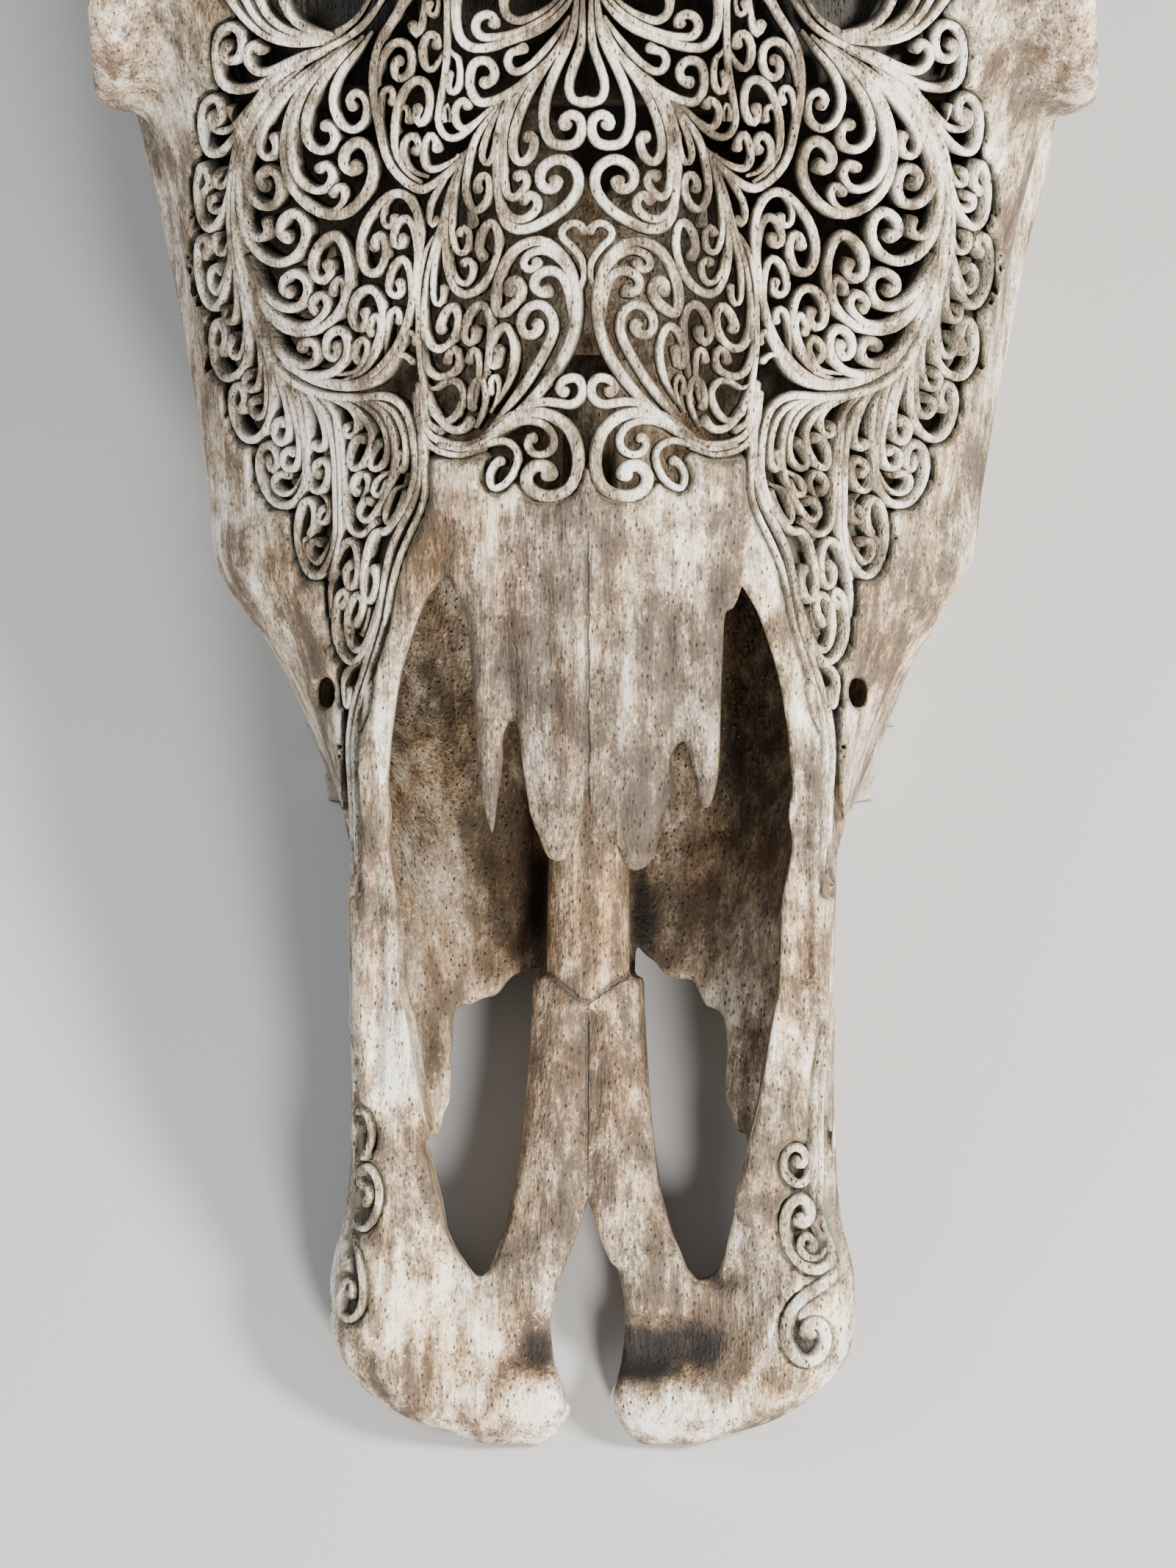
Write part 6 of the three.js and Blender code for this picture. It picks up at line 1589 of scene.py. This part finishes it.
def tooth(name, v, x, length, width, lean, side, material):
    """One upper cheek tooth: ribbed cheek side, lobed tongue side, and a worn face with crescent pits."""
    angle = 2 * np.pi * np.arange(TOOTH_AROUND) / TOOTH_AROUND
    across, along = np.cos(angle), np.sin(angle)
    square = np.maximum(np.abs(across), np.abs(along)) ** -TOOTH_SQUARE
    lobes = 2 if name.startswith("molar") else 1
    place = along * square
    cheek = np.clip(across, 0, 1)
    tongue = np.clip(-across, 0, 1)
    rib = RIB_HEIGHT * np.cos(2 * np.pi * place * lobes) * cheek
    waist = -WAIST_DEPTH * (1 - np.abs(np.sin(np.pi * lobes * (place + 1) / 2))) * tongue
    reach = TOOTH_FILL + rib + waist
    half_x, half_v = width / 2 - TOOTH_INSET, length / 2 - TOOTH_INSET
    plan = np.stack([across * square * reach * half_x, np.clip(place * 0.98, -1, 1) * half_v], -1)
    top = table_level(v, CROWN_HEIGHT) + ROOT_DEPTH
    rings, marks = [], []

    def ring(share, lift, high, worn):
        """Adds a ring: its share of the plan, height off the table, share of the crown, and wear."""
        flat = plan * share
        low = table_level(v + flat[:, 1] + lean) + lift
        w = top + (low - top) * high
        rings.append(np.stack([x + flat[:, 0], v + flat[:, 1] + lean * high, w], -1))
        fold = np.clip(0.5 - 5 * (rib + waist), 0, 1) * 0.5 + 0.5 * (1 - ease(high, 0.2, 0.8))
        marks.append(np.stack([np.broadcast_to(fold, angle.shape), np.broadcast_to(worn, angle.shape),
                               np.zeros_like(angle)], -1))

    for high in np.arange(CROWN_RINGS) / CROWN_RINGS:
        ring(NECK_SHARE + (1 - NECK_SHARE) * high, 0.0, high, 0.0)
    ring(1.0, RIM_LIFT, 1.0, 0.0)
    for share in WORN_SHARES:
        spot = plan * share / [half_x, half_v]
        lobe = np.abs(np.abs(spot[:, 1]) - LOBE_PLACE * (lobes - 1)) * lobes
        away = np.hypot(spot[:, 0] * 0.9, lobe)
        pit = bell(away, *PIT)
        edge = bell(away, *ENAMEL_EDGES[0]) + bell(away, *ENAMEL_EDGES[1])
        lift = FACE_LIFT + PIT_DEPTH * pit * (share < PIT_LIMIT) - EDGE_HEIGHT * np.clip(edge, 0, 1)
        ring(share, lift, 1.0, WORN_TONE * np.clip(1 - edge - pit, 0, 1))
    points, quads, triangles = loft(np.array(rings) * [side, 1, 1])
    made = make_mesh(name + "_" + SIDE_NAMES[side] + "_crown", points, quads, triangles, material)
    add_colours(made, "grain", np.vstack([*marks, marks[0][:1], marks[-1][:1]]))
    return made


def add_camera():
    """The photo's view: far away, so that lines stay nearly parallel."""
    camera = bpy.data.cameras.new("camera")
    camera.sensor_fit = "VERTICAL"
    camera.sensor_height = SENSOR
    camera.lens = SENSOR * VIEW_DISTANCE / PICTURE_HEIGHT
    eye = to_frame(np.array([VIEW_MIDDLE[0] + VIEW_SIDE_STEP, VIEW_MIDDLE[1], VIEW_DISTANCE]))
    target = to_frame(np.array([*VIEW_MIDDLE, 0.0]))
    up = to_frame(np.array([*VIEW_MIDDLE, 0.0]) + [0, 1, 0]) - target
    back = eye - target
    back /= np.linalg.norm(back)
    right = np.cross(up, back)
    right /= np.linalg.norm(right)
    above = np.cross(back, right)
    holder = bpy.data.objects.new("camera", camera)
    holder.matrix_world = Matrix([[*row] for row in zip(right, above, back, eye)] + [[0, 0, 0, 1]])
    bpy.context.scene.collection.objects.link(holder)
    bpy.context.scene.camera = holder


def add_area_light(name, place, size, power, colour):
    light = bpy.data.lights.new(name, "AREA")
    light.shape = "DISK"
    light.size = size
    light.energy = power
    light.color = colour
    holder = bpy.data.objects.new(name, light)
    direction = np.asarray(LIT_PLACE) - np.asarray(place)
    holder.rotation_euler = Vector(direction).to_track_quat("-Z", "Y").to_euler()
    holder.location = place
    bpy.context.scene.collection.objects.link(holder)


# The lights: name, place, size in metres, power in watts, and colour
LIGHTS = [("key", (0.9, -0.15, 0.85), 0.28, 34, (1.0, 0.96, 0.90)),
          ("fill", (-1.0, 0.1, 0.9), 0.8, 11, (0.92, 0.96, 1.0)),
          ("front", (0.35, -1.25, 0.6), 0.28, 34, (1.0, 0.97, 0.93))]
LIT_PLACE = (0.0, -0.08, 0.1)
FLOOR_REACH = 6.0
FLOOR_COLOUR = (0.47, 0.465, 0.46, 1)
SKY_COLOUR = (0.9, 0.93, 1.0, 1)
SKY_STRENGTH = 0.25


def add_stage():
    """A plain pale floor, a soft even sky and three area lights."""
    reach = FLOOR_REACH
    floor_mesh = bpy.data.meshes.new("floor")
    floor_mesh.from_pydata([(-reach, -reach, 0), (reach, -reach, 0), (reach, reach, 0), (-reach, reach, 0)],
                           [], [(0, 1, 2, 3)])
    paint = Nodes("floor", 0.8)
    paint.put(paint.shader.inputs["Base Color"], FLOOR_COLOUR)
    floor_mesh.materials.append(paint.material)
    floor = bpy.data.objects.new("floor", floor_mesh)
    bpy.context.scene.collection.objects.link(floor)
    world = bpy.data.worlds.new("world")
    world.use_nodes = True
    sky = world.node_tree.nodes["Background"]
    sky.inputs["Color"].default_value = SKY_COLOUR
    sky.inputs["Strength"].default_value = SKY_STRENGTH
    bpy.context.scene.world = world
    for row in LIGHTS:
        add_area_light(*row)


def dress(made, node):
    """A finished piece in the place of the frame's own."""
    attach(made, "root")
    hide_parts(node)


bone_look = bone_material()
horn_look = horn_material()
tooth_look = tooth_material()
bone, outer, surface, lines, mask = shape_bone()
points, triangles, quads = bone.mesh()
triangles = triangles.astype(int).reshape(-1, 3)
skull = make_mesh("skull_bone", rest_on_table(points), quads.astype(int), triangles, bone_look)
thin_out(skull, BONE_FACES / (len(triangles) + 2 * len(quads)))
colour_bone(skull, outer, surface, mask)
dress(skull, "skull")
for side, name in SIDE_NAMES.items():
    dress(carve(side, lines[side], surface, bone_look), "skull")
    dress(horn(side, horn_look), "horn_" + name)
    for row in TEETH:
        dress(tooth(*row, side, tooth_look), f"{row[0]}_{name}")
add_camera()
add_stage()
